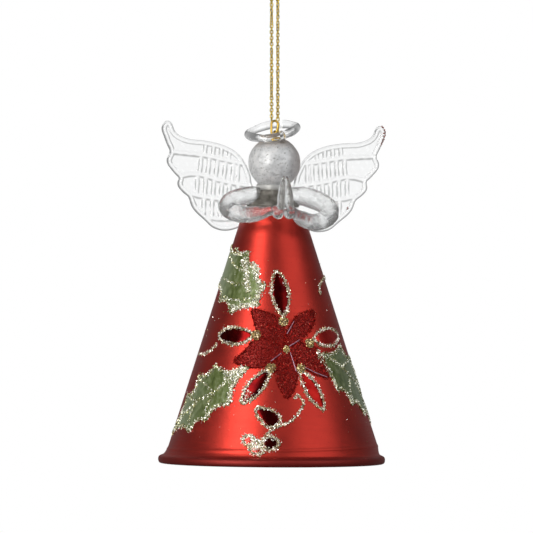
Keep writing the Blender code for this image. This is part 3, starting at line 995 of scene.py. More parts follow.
def swell(mesh, hand_back):
    """Pushes the arm's skin outwards; the hand, in front of hand_back, keeps nearly its own thickness."""
    places, normals = np.empty((2, len(mesh.vertices), 3), np.float32)
    mesh.vertices.foreach_get("co", places.ravel())
    mesh.vertices.foreach_get("normal", normals.ravel())
    share = np.clip((places[:, 1] / MM - hand_back) / SWELL_REACH, HAND_SWELL, 1.0)
    places += normals * (ARM_SWELL * MM * share)[:, None]
    mesh.vertices.foreach_set("co", places.ravel())
    mesh.update()


def cad_solid(node):
    """Vertices in mm and faces of a CAD node."""
    work = welded(node)
    vertices = [v.co / MM for v in work.verts]
    faces = [tuple(v.index for v in f.verts) for f in work.faces]
    work.free()
    return vertices, faces


def ball_solid(centre, radius, rows=12, steps=16):
    vertices, faces = turned(half_circle(radius, rows), steps)
    return [Vector(v) + centre for v in vertices], faces


def halo_plane():
    """Centre, two directions, normal and radii of the halo's ring, from the CAD torus."""
    points = node_points("halo")
    centre = (points.max(0) + points.min(0)) / 2
    axes = np.linalg.svd(points - points.mean(0), full_matrices=False)[2]
    spans = (points - points.mean(0)) @ axes.T
    rod = (spans[:, 2].max() - spans[:, 2].min()) / 2
    across, along, normal = (Vector(axis) for axis in axes)
    return Vector(centre), across, along, normal, float(spans[:, 0].max() - rod), float(rod)


HALO_ASKEW = math.radians(4.0)  # how much more than in the CAD the -X end hangs down
HALO_SWELL = 1.14  # how much thicker the halo's rod is than the CAD's
HALO_STEPS = 144
FOOT_WAIST = 0.78  # radius of the halo's foot at its middle
FOOT_FLARE = 0.5  # how much wider its ends are


def halo(glass):
    centre, across, along, normal, radius, rod = halo_plane()
    askew = Matrix.Rotation(-HALO_ASKEW, 3, "Y")
    sideways = Vector((1.0, 0.0, 0.0))
    high_end = centre + radius * (sideways - sideways.dot(normal) * normal).normalized()
    centre = high_end + askew @ (centre - high_end)
    across, along, normal = askew @ across, askew @ along, askew @ normal
    path, radii = [], []
    for i in range(HALO_STEPS):
        angle = 2 * math.pi * i / HALO_STEPS
        uneven = 0.12 * math.sin(2 * angle + 1.0) + 0.07 * math.sin(5 * angle)
        point = centre + (radius + uneven) * (math.cos(angle) * across + math.sin(angle) * along)
        path.append(point + 0.15 * math.sin(3 * angle + 0.5) * normal)
        radii.append(rod * (HALO_SWELL + 0.06 * math.sin(3 * angle) + 0.04 * math.sin(7 * angle + 2.0)))
    stand_in("halo_ring", tube(path, radii, 28, closed=True, across=normal), glass, "halo")


def halo_foot(glass):
    """The drop that joins crown and halo, pulled thin in the middle."""
    low, high = node_box("halo_foot")
    points = node_points("halo_foot")
    end = 0.8  # the vertices this near the top and the bottom give the drop's line
    top = Vector(points[points[:, 2] > high.z - end].mean(0))
    foot = Vector(points[points[:, 2] < low.z + end].mean(0))
    along = (top - foot).normalized()
    shares = [i / 12 for i in range(13)]
    path = [foot - 0.3 * along + (top - foot + 0.9 * along) * share for share in shares]
    radii = [FOOT_WAIST + FOOT_FLARE * (2 * share - 1) ** 2 for share in shares]
    stand_in("halo_drop", tube(path, radii, 24), glass, "halo_foot")


def hanging_eye(glass):
    """A half loop of glass, open towards the crown that it grows from."""
    middle, half = node_middle("hanging_eye")
    rod, top = half.x, middle.z + half.z
    reach = half.y - rod
    path = []
    for i in range(25):
        angle = math.pi * i / 24
        path.append((middle.x, middle.y + reach * math.cos(angle), top - rod - reach * (1 - math.sin(angle))))
    stand_in("glass_eye", tube(path, rod, 16, across=(1.0, 0.0, 0.0)), glass, "hanging_eye")


# ---------------------------------------------------------------- chain

LINK_WIRE = 0.22  # radius
LINK_WIDTH = 1.42
LINKS_IN_RUN = 8
BEND_LINKS = 3
STRAND_TWIST = 3.0  # degrees that the strand turns from link to link


def oval_path(half_width, half_height, steps):
    """A closed racetrack of points (across, up) about the origin; the sizes are to the wire's middle."""
    straight = max(half_height - half_width, 0.0)
    angles = [math.pi * i / steps for i in range(steps + 1)]
    top = [(half_width * math.cos(a), straight + half_width * math.sin(a)) for a in angles]
    return top + [(-x, -y) for x, y in top]


def link(centre, along, facing, length):
    """One cable link: its long way along the strand, its flat side towards facing."""
    across = along.cross(facing).normalized()
    outline = oval_path(LINK_WIDTH / 2 - LINK_WIRE, length / 2 - LINK_WIRE, 6)
    path = [centre + x * across + y * along for x, y in outline]
    return tube(path, LINK_WIRE, 8, closed=True, across=facing)


def run_of_links(node, twist, gold):
    """The links that the CAD's solid run stands for, each turned a quarter from the next."""
    middle, _ = node_middle(node)
    first_z, pitch = link_heights(node)
    links = []
    chance = random.Random(node)
    for i in range(LINKS_IN_RUN):
        facing = outwards(math.radians(twist + (90.0 + STRAND_TWIST) * i + chance.uniform(-12.0, 12.0)))
        lean = Vector((chance.uniform(-0.08, 0.08), chance.uniform(-0.08, 0.08), 1.0)).normalized()
        centre = Vector((middle.x, middle.y, first_z + pitch * i))
        facing = (facing - facing.dot(lean) * lean).normalized()
        links.append(link(centre, lean, facing, pitch + 4 * LINK_WIRE))
    stand_in(node.replace("chain", "links"), joined(links), gold, node)


def link_heights(node):
    """Height of a run's first link and the pitch, from the hinges that the runs hang between."""
    level = int(node[-1])
    chain = [joint for joint in frame["joints"] if joint["child"].startswith("chain_")]
    hinges = sorted(joint["pos_m"][2] / MM for joint in chain)
    pitch = (hinges[1] - hinges[0]) / LINKS_IN_RUN
    return hinges[level - 1] + pitch / 2, pitch


def chain_bend(gold):
    """The links over the top that join the two strands."""
    middle, _ = node_middle("chain_bend")
    reach = node_middle("chain_right_1")[0].x - middle.x
    first_z, pitch = link_heights("chain_right_6")
    start_z = first_z + pitch * (LINKS_IN_RUN - 0.5)
    links = []
    for i in range(BEND_LINKS):
        angle = math.pi * (i + 0.5) / BEND_LINKS
        x, z = middle.x + reach * math.cos(angle), start_z + 0.9 * reach * math.sin(angle)
        centre = Vector((x, middle.y, z))
        along = Vector((-math.sin(angle), 0.0, math.cos(angle)))
        facing = Vector((0.0, -1.0, 0.0)) if i % 2 else along.cross(Vector((0.0, 1.0, 0.0)))
        links.append(link(centre, along, facing, pitch + 4 * LINK_WIRE))
    stand_in("links_over_top", joined(links), gold, "chain_bend")


def jump_ring(gold):
    """An oval of wire whose two ends lie side by side on its right, where it looks thick."""
    middle, half = node_middle("jump_ring")
    wire = half.y
    half_width, half_height = half.x - wire, half.z - wire
    path = [(middle.x + x, middle.y, middle.z + z) for x, z in oval_path(half_width, half_height, 14)]
    ring = tube(path, 1.25 * wire, 14, closed=True, across=(0.0, 1.0, 0.0))
    lap = []
    for i in range(13):
        share = i / 12
        x = half_width * (1.06 - 0.75 * share ** 2)
        z = half_height * (0.62 - 1.35 * share)
        lap.append((middle.x + x, middle.y - 1.5 * wire, middle.z + z))
    stand_in("wire_ring", joined([ring, tube(lap, 0.5, 14)]), gold, "jump_ring")


# ---------------------------------------------------------------- clapper

CLAPPER_SIDES = 12  # of its wires
STEM_RADIUS = 0.55
WRAP_TURNS = 4
WRAP_RADIUS = 0.75  # to the middle of the wire
WRAP_WIRE = 0.28


def clapper_staple(gold):
    """The wire that the clapper's link hangs in: a bow, with both legs up in the crown."""
    middle, half = node_middle("clapper_eye")
    wire, top = half.x, middle.z + half.z + 0.4
    reach = half.y - wire
    foot = middle.z - half.z + wire + reach
    bow = [(0.0, reach * math.cos(a), foot - reach * math.sin(a)) for a in np.linspace(0.0, math.pi, 19)]
    path = [(0.0, reach, top)] + bow + [(0.0, -reach, top)]
    stand_in("wire_staple", tube(path, wire, CLAPPER_SIDES, across=(1.0, 0.0, 0.0)), gold, "clapper_eye")


def clapper_link(gold):
    middle, half = node_middle("clapper_link")
    wire = half.y
    path = [(x, middle.y, middle.z + z) for x, z in oval_path(half.x - wire, half.z - wire, 12)]
    oval = tube(path, wire, CLAPPER_SIDES, closed=True, across=(0.0, 1.0, 0.0))
    stand_in("wire_link", oval, gold, "clapper_link")


def clapper_stem(gold):
    """A rod with a loop at its top, whose wire end is wound round the rod."""
    middle, half = node_middle("clapper_stem")
    wire = node_middle("clapper_link")[1].y
    loop_radius = half.y - wire
    centre = middle.z + half.z - wire - loop_radius
    angles = np.linspace(0.0, 2 * math.pi, 37)[:-1]
    loop = [(0.0, loop_radius * math.sin(a), centre + loop_radius * math.cos(a)) for a in angles]
    ring = tube(loop, wire, CLAPPER_SIDES, closed=True, across=(1.0, 0.0, 0.0))
    top, foot = centre - loop_radius, node_box("clapper_ball")[1].z - 0.5
    stem = tube([(0.0, 0.0, top), (0.0, 0.0, foot)], STEM_RADIUS, 16)
    path = []
    for i in range(WRAP_TURNS * 16 + 1):
        angle = 2 * math.pi * i / 16
        x, y = WRAP_RADIUS * math.cos(angle), WRAP_RADIUS * math.sin(angle)
        path.append((x, y, top - 0.4 - 2.1 * WRAP_WIRE * i / 16))
    stand_in("wire_stem", joined([ring, stem, tube(path, WRAP_WIRE, 8)]), gold, "clapper_stem")


def clapper_ball(brass):
    """A turned ball with a faint seam round its middle."""
    centre, half = node_middle("clapper_ball")
    profile = half_circle(half.z, 48)
    seam = [(r * (1.0 + 0.006 * math.exp(-(z / 0.25) ** 2)), centre.z + z) for r, z in profile]
    stand_in("brass_ball", turned(seam, 96), brass, "clapper_ball")


# ---------------------------------------------------------------- painted and glittered pattern

# The pattern is drawn on a flat sheet, (mm round the dress, mm up its slope), from the flower's middle
FLOWER_TURN = math.radians(2.1)
FLOWER_HEIGHT = 41.9
PATTERN_SCALE = 1.013
SUNK = 0.12  # how far the pattern's pieces reach into the lacquer

# A leaf's points in order round it; the hollow after each point; its midrib and side veins
LEAVES = {
    "upper": {
        "points": [(-24.4, 38.8), (-12.0, 37.0), (-8.0, 30.3), (-6.2, 24.2), (-9.4, 16.2), (-20.8, 13.7),
                   (-27.2, 17.9), (-35.5, 24.0), (-37.5, 33.5), (-32.0, 42.0)],
        "hollows": [(-17.6, 35.8), (-11.8, 31.8), (-9.2, 26.4), (-9.3, 19.6), (-14.9, 16.6), (-22.4, 17.8),
                    (-28.2, 22.8), (-34.2, 28.6), (-33.4, 37.0), (-28.4, 38.6)],
        "rib": [(-9.8, 16.8), (-11.5, 19.2), (-12.9, 23.4), (-12.4, 29.0), (-14.5, 35.0), (-19.0, 38.0)],
        "veins": [[(-13.0, 24.5), (-18.9, 24.6), (-26.0, 26.8)], [(-12.4, 29.0), (-18.0, 31.0),
                                                                  (-24.0, 36.0)],
                  [(-11.6, 19.4), (-18.0, 18.2), (-24.5, 19.8)]],
    },
    "left": {
        "points": [(-14.2, -6.4), (-27.9, -5.8), (-37.7, -9.9), (-47.1, -17.3), (-60.0, -32.0),
                   (-41.6, -30.6),
                   (-32.5, -26.5), (-22.4, -20.5)],
        "hollows": [(-22.5, -8.4), (-32.2, -9.6), (-41.0, -16.2), (-49.6, -23.4), (-48.5, -29.0),
                    (-37.4, -26.6),
                    (-28.4, -21.8), (-20.4, -14.0)],
        "rib": [(-14.8, -6.8), (-20.4, -10.3), (-28.9, -16.0), (-36.7, -19.0), (-46.8, -24.5),
                (-57.0, -30.5)],
        "veins": [[(-28.9, -16.0), (-33.7, -12.8), (-37.5, -11.5)], [(-28.6, -16.4), (-32.0, -21.2),
                                                                     (-32.5, -25.0)],
                  [(-38.0, -19.6), (-43.5, -18.4)], [(-38.5, -20.0), (-42.0, -25.0), (-42.0, -28.5)]],
    },
    "right": {
        "points": [(11.4, -1.0), (25.6, 1.5), (35.5, -3.6), (43.0, -9.5), (50.0, -18.0), (47.4, -26.6),
                   (37.7, -24.8),
                   (28.2, -21.2), (20.1, -15.2)],
        "hollows": [(19.0, -1.8), (28.8, -2.6), (37.6, -7.6), (44.6, -14.6), (47.4, -21.5), (42.0, -23.6),
                    (32.2, -19.8), (24.8, -15.8), (16.8, -8.4)],
        "rib": [(12.3, -2.2), (19.5, -4.3), (25.0, -7.4), (30.4, -10.4), (36.5, -14.5), (41.0, -20.0),
                (47.5, -28.5)],
        "veins": [[(23.8, -6.4), (31.0, -4.6)], [(29.0, -10.0), (28.2, -14.0), (28.6, -19.5)],
                  [(34.0, -12.8), (41.5, -12.0)]],
    },
}
PETAL_SPREAD = 1.2  # the petals are broader than the points below, about their own middle lines

PETALS = [
    [(0.4, 0.0), (-5.5, 3.6), (-9.0, 6.1), (-10.8, 10.4), (-11.5, 15.2), (-5.0, 13.0), (-2.1, 10.6),
     (0.0, 5.5)],
    [(-0.4, 0.0), (0.2, 5.5), (3.0, 9.7), (6.0, 12.8), (12.2, 14.6), (11.2, 9.6), (8.0, 6.1), (3.9, 1.9)],
    [(0.0, 0.6), (-6.2, 3.4), (-11.6, 2.4), (-15.9, -1.4), (-19.7, -4.5), (-14.2, -6.2), (-7.4, -5.6),
     (-1.0, -1.8)],
    [(0.0, 0.0), (4.8, 1.8), (9.0, 0.9), (12.3, -1.6), (15.0, -6.0), (16.2, -10.8), (8.6, -8.2),
     (2.6, -3.6)],
    [(0.0, 0.0), (-3.4, -4.0), (-4.0, -8.4), (-3.0, -13.6), (-0.8, -18.4), (2.2, -13.6), (3.1, -8.0),
     (2.6, -3.4)],
]

# Windows: both ends of the glitter line's middle and its width across
WINDOWS = [
    ((-1.8, 29.6), (-0.3, 12.3), 6.1),
    ((-26.7, 4.8), (-11.3, 5.4), 6.4),
    ((10.6, 3.9), (25.6, 5.0), 6.6),
    ((-6.4, -7.7), (-17.4, -20.1), 5.4),
    ((4.9, -7.9), (13.2, -22.7), 5.2),
]
# Which are painted in shade, in half light and in light, counting the windows, then the bud, then the berries
SHADE_PAINTED_WINDOWS = (0, 1, 3, 5, 6)
HALF_LIGHT_PAINTED_WINDOWS = (4,)
LIGHT_PAINTED_WINDOWS = (2, 7, 8)
DOTS = [(-0.5, 10.5), (-10.5, 5.4), (9.0, 2.3), (-5.8, -6.8), (4.9, -7.1)]
DOT_RADIUS = 1.9
CRUSTS = [
    [(-10.4, 33.0), (-9.4, 30.0), (-9.0, 26.4), (-7.6, 23.6), (-9.0, 20.0), (-10.0, 17.2), (-14.6, 16.2),
     (-20.0, 15.0)],
    [(-14.8, 33.6), (-13.2, 30.0), (-13.0, 25.0), (-12.2, 21.5)],
    [(-15.4, -6.8), (-18.2, -10.0), (-20.6, -13.4), (-21.4, -17.0), (-22.0, -20.0)],
    [(-16.0, -7.0), (-20.4, -8.6), (-24.0, -11.2)],
    [(-13.6, -15.5), (-16.2, -18.6), (-17.2, -20.4)],
    [(-15.6, -32.0), (-11.4, -34.6), (-13.6, -37.4), (-9.4, -33.0)],
]
STAMENS = [
    [(3.3, 10.4), (0.6, 5.9)],
    [(4.9, 3.5), (1.2, 1.2)],
    [(-1.9, -1.4), (-5.6, -4.3)],
    [(1.3, -1.2), (2.2, -4.6), (3.0, -8.0)],
    [(6.4, -6.7), (10.6, -8.8), (15.2, -10.4)],
]
SCROLLS = [
    [(16.6, 20.5), (16.0, 22.9), (17.7, 24.9), (22.0, 26.6), (27.5, 27.0)],
    [(-41.0, -1.6), (-37.5, -2.2), (-33.0, -1.4), (-29.5, 0.3), (-27.3, 2.1)],
    [(1.7, -18.3), (3.3, -17.0), (5.1, -19.7), (3.8, -22.7), (0.7, -26.2), (-3.4, -28.2), (-6.6, -29.6),
     (-9.0, -31.8)],
]
BUD = [(-12.2, -22.0), (-8.8, -21.7), (-5.7, -22.9), (-3.5, -25.3), (-4.7, -27.8), (-8.1, -28.8),
       (-11.0, -25.6)]
BERRIES = [((-7.7, -34.7), 3.2, 2.4, 0.2), ((-15.4, -33.5), 2.0, 1.8, 0.0), ((-12.6, -37.2), 2.6, 1.5, -0.2)]

LINE_WIDTH = 1.4
CHIP_SIZE = 0.31
BED_SHARE = 0.25  # half of a glue line's width, as a share of the width its chips spread over
BED_HEIGHT = 0.12
BED_SIDES = 10
PLATE_SEED = 3
PETAL_CHIPS = 26.0  # per square mm
PETAL_STRAYS = 9.0  # per mm of outline
FLOWER_MIDDLE = ((0.0, 0.0), 1.25, 1.55)  # its dot: place, half width and half height
DOT_CHIPS = 150
STRAY_CHIPS = 110
STRAYS_BY_LEAVES = 60


def on_dress(places, lift):
    """Points and outward normals on the dress for an array of sheet places; lift is mm off the lacquer."""
    x, y = PATTERN_SCALE * places[:, 0], PATTERN_SCALE * places[:, 1]
    height = FLOWER_HEIGHT + y / CONE_SLANT
    radius = dress_radius(height)
    angle = FLOWER_TURN + x / radius
    normal = np.stack([np.sin(angle), -np.cos(angle), np.full(len(x), CONE_SLOPE)], axis=1) / CONE_SLANT
    waver = np.array([wobble(a, h) for a, h in zip(angle, height)])
    out = radius + waver
    point = np.stack([out * np.sin(angle), -out * np.cos(angle), height], axis=1)
    return point + np.reshape(lift, (-1, 1)) * normal, normal


def plate(outline, step, thickness, crown=0.0, reach=1.0):
    """A thin closed plate on the dress: soft edges, and a crown that rises from the edge over reach mm."""
    points, triangles, border = filled(outline, step, PLATE_SEED)
    edge = distance_to_lines(points, [points[:border]], closed=True)
    rise = thickness * np.sqrt(1 - (1 - np.clip(edge / (2 * thickness), 0, 1)) ** 2)
    swell = crown * (1 - (1 - np.clip(edge / reach, 0, 1)) ** 2)
    rise[:border] = -0.5 * SUNK
    top, _ = on_dress(points, rise + swell)
    bottom, _ = on_dress(points[border:], -SUNK)
    count = len(points)
    under = list(range(border)) + list(range(count, count + len(bottom)))
    faces = triangles + [tuple(under[i] for i in reversed(t)) for t in triangles]
    return (np.vstack([top, bottom]), faces), (points, triangles)


def bead(path, half_width, closed):
    """A raised line of glue along a path of sheet places, oval in section and half sunk."""
    places, normals = on_dress(path, 0.02)
    if closed:
        tangents = np.roll(places, -1, axis=0) - np.roll(places, 1, axis=0)
    else:
        tangents = np.gradient(places, axis=0)
    tangents /= np.linalg.norm(tangents, axis=1)[:, None]
    across = np.cross(tangents, normals)
    vertices = []
    for angle in np.linspace(0.0, 2 * math.pi, BED_SIDES, endpoint=False):
        up = BED_HEIGHT * math.sin(angle) * normals
        vertices.append(places + half_width * math.cos(angle) * across + up)
    vertices = np.stack(vertices, axis=1).reshape(-1, 3)
    faces = closed_grid(len(path), BED_SIDES, wrap_rows=closed)
    if not closed:
        faces.append(tuple(reversed(range(BED_SIDES))))
        faces.append(tuple(range((len(path) - 1) * BED_SIDES, len(path) * BED_SIDES)))
    return vertices, faces


def chips(places, normals, sizes, chance, tilt):
    """Closed four-sided chips lying loosely on a surface; returns vertices, faces and a tone each."""
    count = len(places)
    loose = normals + tilt * chance.normal(0.0, 0.5, (count, 3))
    loose /= np.linalg.norm(loose, axis=1)[:, None]
    first = np.cross(loose, chance.normal(0.0, 1.0, (count, 3)))
    first /= np.linalg.norm(first, axis=1)[:, None]
    second = np.cross(loose, first)
    size = sizes[:, None]
    corners = [places + size * (math.cos(a) * first + math.sin(a) * second) for a in (0.0, 2.1, 4.2)]
    corners.append(places + 0.8 * size * loose)
    vertices = np.stack(corners, axis=1).reshape(-1, 3)
    base = 4 * np.arange(count)[:, None]
    faces = np.concatenate([base + f for f in ([2, 1, 0], [0, 1, 3], [1, 2, 3], [2, 0, 3])])
    return vertices, faces, np.repeat(chance.random(count), 4)


def scatter_on_lines(lines, width, per_mm, chance):
    """Random sheet places along lines, denser towards their middle."""
    scattered = []
    for path, closed in lines:
        ends = np.roll(path, -1, axis=0) if closed else path[1:]
        starts = path if closed else path[:-1]
        lengths = np.linalg.norm(ends - starts, axis=1)
        count = int(lengths.sum() * per_mm)
        pick = chance.choice(len(starts), count, p=lengths / lengths.sum())
        share = chance.random((count, 1))
        along = ends[pick] - starts[pick]
        aside = np.stack([-along[:, 1], along[:, 0]], axis=1) / np.linalg.norm(along, axis=1)[:, None]
        off = np.clip(chance.normal(0.0, 0.28, (count, 1)), -0.66, 0.66) * width
        scattered.append(starts[pick] + share * along + off * aside)
    return np.vstack(scattered)


def scatter_in(points, triangles, per_mm2, chance):
    """Random sheet places inside a triangulated outline."""
    corners = points[np.array(triangles)]
    a, b = corners[:, 1] - corners[:, 0], corners[:, 2] - corners[:, 0]
    area = np.abs(a[:, 0] * b[:, 1] - a[:, 1] * b[:, 0]) / 2
    pick = chance.choice(len(area), int(area.sum() * per_mm2), p=area / area.sum())
    u, v = chance.random((2, len(pick), 1))
    over = (u + v) > 1
    u, v = np.where(over, 1 - u, u), np.where(over, 1 - v, v)
    return corners[pick, 0] + u * a[pick] + v * b[pick]


def chip_object(name, places, lift, size, material, seed, tilt=0.75):
    """A piece made of glitter chips at sheet places."""
    chance = np.random.default_rng(seed)
    spots, normals = on_dress(places, lift)
    sizes = size * chance.uniform(0.55, 1.35, len(places))
    vertices, faces, tones = chips(spots, normals, sizes, chance, tilt)
    mesh = bpy.data.meshes.new(name)
    mesh.from_pydata((vertices * MM).tolist(), [], faces.tolist())
    tone = mesh.attributes.new("tone", "FLOAT", "POINT")
    tone.data.foreach_set("value", tones.astype(np.float32))
    piece(name, mesh, material, "bell_skirt")


def on_bell(name, solids, material):
    """One piece from several solids, which rides with the bell."""
    smooth_piece(name, joined(solids), material, "bell_skirt")


def scalloped(points, hollows):
    """A leaf's outline: from each point a curve through the hollow to the next point."""
    corners, middles = np.array(points, float), np.array(hollows, float)
    path = []
    for a, middle, b in zip(corners, middles, np.roll(corners, -1, axis=0)):
        pull = 2 * middle - (a + b) / 2
        for k in range(10):
            t = k / 10
            path.append(a * (1 - t) ** 2 + 2 * pull * t * (1 - t) + b * t ** 2)
    return np.array(path)


def broadened(points, share):
    """A petal's outline, spread sideways about the line from its root to its far end."""
    outline = np.array(points, float)
    root = outline[0]
    reach = outline - root
    far = reach[np.linalg.norm(reach, axis=1).argmax()]
    far = far / np.linalg.norm(far)
    straight = (reach @ far)[:, None] * far
    return root + straight + share * (reach - straight)


def almond(start, end, width, points=24):
    """A closed lens between two ends; width is across its middle."""
    start, end = np.array(start), np.array(end)
    along = end - start
    aside = np.array([-along[1], along[0]]) / np.linalg.norm(along)
    there = [(k / points, 1) for k in range(points)]
    back = [(1 - k / points, -1) for k in range(points)]
    outline = []
    for t, sign in there + back:
        outline.append(start + along * t + aside * sign * width / 2 * math.sin(math.pi * t) ** 0.68)
    return np.array(outline)


def oval_outline(centre, half_width, half_height, tilt, points=28):
    angles = np.linspace(0.0, 2 * math.pi, points + 1)[:-1]
    x, y = half_width * np.cos(angles), half_height * np.sin(angles)
    turn_x = x * math.cos(tilt) - y * math.sin(tilt)
    turn_y = x * math.sin(tilt) + y * math.cos(tilt)
    return np.stack([centre[0] + turn_x, centre[1] + turn_y], axis=1)


def glitter_lines(name, lines, width, champagne, bed, seed, per_mm=13.0):
    """Glue lines with glitter chips stuck on them; lines are (sheet path, closed)."""
    even = [(evenly(path, 0.5, closed), closed) for path, closed in lines]
    on_bell(name + "_bed", [bead(path, BED_SHARE * width, closed) for path, closed in even], bed)
    chance = np.random.default_rng(seed)
    places = scatter_on_lines(even, width, per_mm, chance)
    lift = 0.08 + 0.22 * chance.random(len(places))
    chip_object(name + "_chips", places, lift, CHIP_SIZE, champagne, seed + 1, tilt=1.3)


def leaves(champagne, bed):
    plates, edges, veins = [], [], []
    for leaf in LEAVES.values():
        outline = scalloped(leaf["points"], leaf["hollows"])
        shape, _ = plate(outline, 0.8, 0.14)
        plates.append(shape)
        edges.append((outline, True))
        veins.append((smooth_path(leaf["rib"], 6), False))
        veins += [(smooth_path(vein, 6), False) for vein in leaf["veins"]]
    on_bell("leaf_enamel", plates, leaf_enamel())
    glitter_lines("leaf_edge_glitter", edges, 1.6, champagne, bed, 21, per_mm=14.0)
    glitter_lines("leaf_vein_glitter", veins, 1.2, champagne, bed, 31, per_mm=8.0)


def heavy_glitter(bed):
    """Where the glue ran wide: broad crusts of pale chips."""
    silver = glitter(
        "pale_glitter", (0.0, (0.34, 0.28, 0.16)), (0.3, (0.72, 0.66, 0.48)), (0.5, (0.95, 0.94, 0.86)),
        (0.8, (1.0, 1.0, 0.97)), rough=0.16, metallic=0.6, painted_glint_strength=0.8,
    )
    lines = [(smooth_path(line, 6), False) for line in CRUSTS]
    glitter_lines("heavy_glitter", lines, 2.5, silver, bed, 91, per_mm=20.0)


def windows(champagne, bed):
    outlines = [almond(*window) for window in WINDOWS]
    outlines += [smooth_path(BUD, 5, closed=True)] + [oval_outline(*berry) for berry in BERRIES]
    plates = [plate(outline, 0.5, 0.12, crown=0.22, reach=2.2)[0] for outline in outlines]
    # painted shade and painted light: one red glass in three copies, the darkest for windows that would mirror the
    # dark room, the lightest for those that would mirror a lamp
    deep = window_red("shade_painted_red_window", (0.05, 0.002, 0.003), (0.13, 0.004, 0.004), 1.0)
    lit_red = window_red("light_painted_red_window", (0.38, 0.011, 0.009), (0.56, 0.028, 0.020), 0.8)
    half_lit_red = window_red("half_light_painted_red_window", (0.24, 0.006, 0.006), (0.36, 0.014, 0.011), 1.0)
    for name, places, red in (
        ("shade_painted_windows", SHADE_PAINTED_WINDOWS, deep),
        ("half_light_painted_windows", HALF_LIGHT_PAINTED_WINDOWS, half_lit_red),
        ("light_painted_windows", LIGHT_PAINTED_WINDOWS, lit_red),
    ):
        on_bell(name, [plates[i] for i in places], red)
    lines = [(outline, True) for outline in outlines]
    berries = len(BERRIES)
    glitter_lines("window_glitter", lines[:-berries], LINE_WIDTH, champagne, bed, 41)
    glitter_lines("berry_glitter", lines[-berries:], 1.35 * LINE_WIDTH, champagne, bed, 45, per_mm=18.0)


def scrolls(champagne, bed):
    lines = [(smooth_path(scroll, 8), False) for scroll in SCROLLS]
    glitter_lines("scroll_glitter", lines, 1.1, champagne, bed, 51)


def petals():
    """Five overlapping petals of fine red glitter."""
    chance = np.random.default_rng(61)
    plates, places, lifts = [], [], []
    for i, petal in enumerate(PETALS):
        thickness = 0.13 + 0.03 * i
        outline = smooth_path(broadened(petal, PETAL_SPREAD), 6, closed=True)
        shape, (points, triangles) = plate(outline, 0.6, thickness)
        plates.append(shape)
        spots = scatter_in(points, triangles, PETAL_CHIPS, chance)
        strays = scatter_on_lines([(evenly(outline, 0.5, True), True)], 0.9, PETAL_STRAYS, chance)
        places += [spots, strays]
        lifts += [np.full(len(spots), thickness), np.full(len(strays), 0.6 * thickness)]
    on_bell("petal_bed", plates, glue("red_glitter_bed", (0.14, 0.007, 0.006), (0.35, 0.018, 0.014)))
    red = glitter(
        "red_glitter", (0.0, (0.14, 0.007, 0.006)), (0.5, (0.38, 0.019, 0.015)),
        (0.92, (0.56, 0.040, 0.030)), (1.0, (0.62, 0.22, 0.16)), rough=0.38,
    )
    chip_object("petal_glitter", np.vstack(places), np.concatenate(lifts), 0.19, red, 62, tilt=0.8)


def dots(bed):
    """Small mounds of gold glitter at the windows' inner ends and at the flower's middle."""
    gold = glitter(
        "gold_glitter", (0.0, (0.42, 0.31, 0.12)), (0.5, (0.80, 0.66, 0.34)), (1.0, (0.97, 0.90, 0.66))
    )
    chance = np.random.default_rng(71)
    mounds, places, lifts = [], [], []
    for centre, wide, tall in [(dot, DOT_RADIUS, DOT_RADIUS) for dot in DOTS] + [FLOWER_MIDDLE]:
        outline = oval_outline(centre, wide, tall, 0.0, 20)
        mounds.append(plate(outline, 0.45, 0.10, crown=0.45, reach=1.5)[0])
        way = chance.random(DOT_CHIPS) * 2 * math.pi
        out = np.sqrt(chance.random(DOT_CHIPS))
        aside, up = wide * out * np.cos(way), tall * out * np.sin(way)
        places.append(np.stack([centre[0] + aside, centre[1] + up], axis=1))
        lifts.append(0.15 + 0.5 * (1 - out ** 2))
    on_bell("dot_bed", mounds, bed)
    chip_object("dot_glitter", np.vstack(places), np.concatenate(lifts), 0.26, gold, 72)


def stamens():
    rods = []
    for stamen in STAMENS:
        places, _ = on_dress(evenly(smooth_path(stamen, 6), 0.4), 0.42)
        radii = [0.12 + 0.09 * i / (len(places) - 1) for i in range(len(places))]
        rods.append(tube(places, radii, 8))
    on_bell("stamens", rods, painted_lilac())


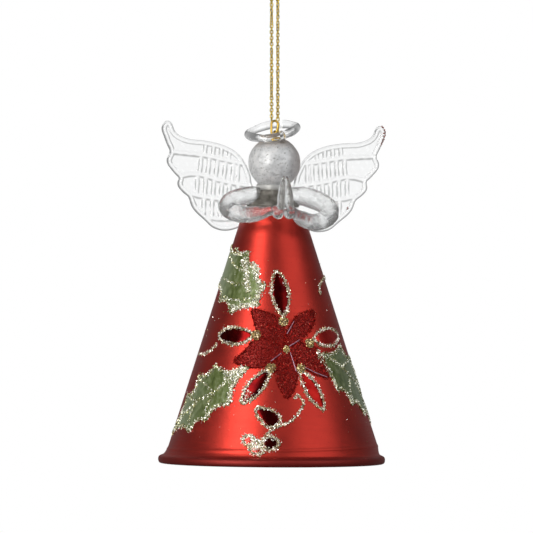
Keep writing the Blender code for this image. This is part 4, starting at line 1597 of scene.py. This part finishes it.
def stray_chips(champagne):
    """Chips that landed beside the lines."""
    chance = np.random.default_rng(81)
    x, y = chance.uniform(-45.0, 45.0, STRAY_CHIPS), chance.uniform(-36.0, 38.0, STRAY_CHIPS)
    near = np.array([corner for leaf in LEAVES.values() for corner in leaf["points"]])
    beside = near[chance.integers(0, len(near), STRAYS_BY_LEAVES)]
    beside = beside + chance.normal(0.0, 2.2, (STRAYS_BY_LEAVES, 2))
    places = np.vstack([np.stack([x, y], axis=1), beside])
    chip_object("stray_chips", places, 0.05, 0.2, champagne, 82)


def pattern():
    champagne = glitter("champagne_glitter", (0.0, (0.20, 0.14, 0.05)), (0.3, (0.56, 0.46, 0.24)),
                        (0.55, (0.90, 0.85, 0.66)), (0.8, (1.0, 0.99, 0.93)),
                        rough=0.2, metallic=0.72, painted_glint_strength=0.45)
    sage = glitter("sage_glitter", (0.0, (0.13, 0.13, 0.03)), (0.35, (0.46, 0.45, 0.20)),
                   (0.6, (0.86, 0.85, 0.62)), (0.85, (1.0, 1.0, 0.93)),
                   rough=0.2, metallic=0.72, painted_glint_strength=0.45)
    bed = glue("champagne_bed", (0.13, 0.04, 0.025), (0.42, 0.30, 0.17))
    olive_bed = glue("olive_bed", (0.07, 0.08, 0.015), (0.36, 0.36, 0.16))
    leaves(sage, olive_bed)
    heavy_glitter(olive_bed)
    windows(champagne, bed)
    scrolls(champagne, bed)
    petals()
    dots(bed)
    stamens()
    stray_chips(champagne)


# ---------------------------------------------------------------- everything together

def build():
    camera()
    softboxes()
    world_light()
    floor()

    dress()
    collar()
    head()

    glass = clear_glass()
    worked_glass = drawn_glass()
    for side, sign in (("left", -1), ("right", 1)):
        wing(side, sign, glass)
        arm_and_hand(side, worked_glass)
    wing_specks()
    halo(glass)
    halo_foot(glass)
    hanging_eye(glass)

    gold = plated_wire("gold_plated_wire", (0.80, 0.64, 0.18), (0.34, 0.24, 0.04), 0.2)
    jump_ring(plated_wire("ring_wire", (0.76, 0.54, 0.13), (0.50, 0.31, 0.06), 0.24))
    for node in sorted(frame["nodes"]):
        if node.startswith(("chain_left", "chain_right")):
            twist = 62.0 * int(node[-1]) if "left" in node else 8.0
            run_of_links(node, twist, gold)
    chain_bend(gold)
    pattern()
    clapper_staple(gold)
    clapper_link(gold)
    clapper_stem(gold)
    clapper_ball(plated_wire("brass", (0.85, 0.66, 0.32), (0.70, 0.50, 0.20), 0.18))


build()
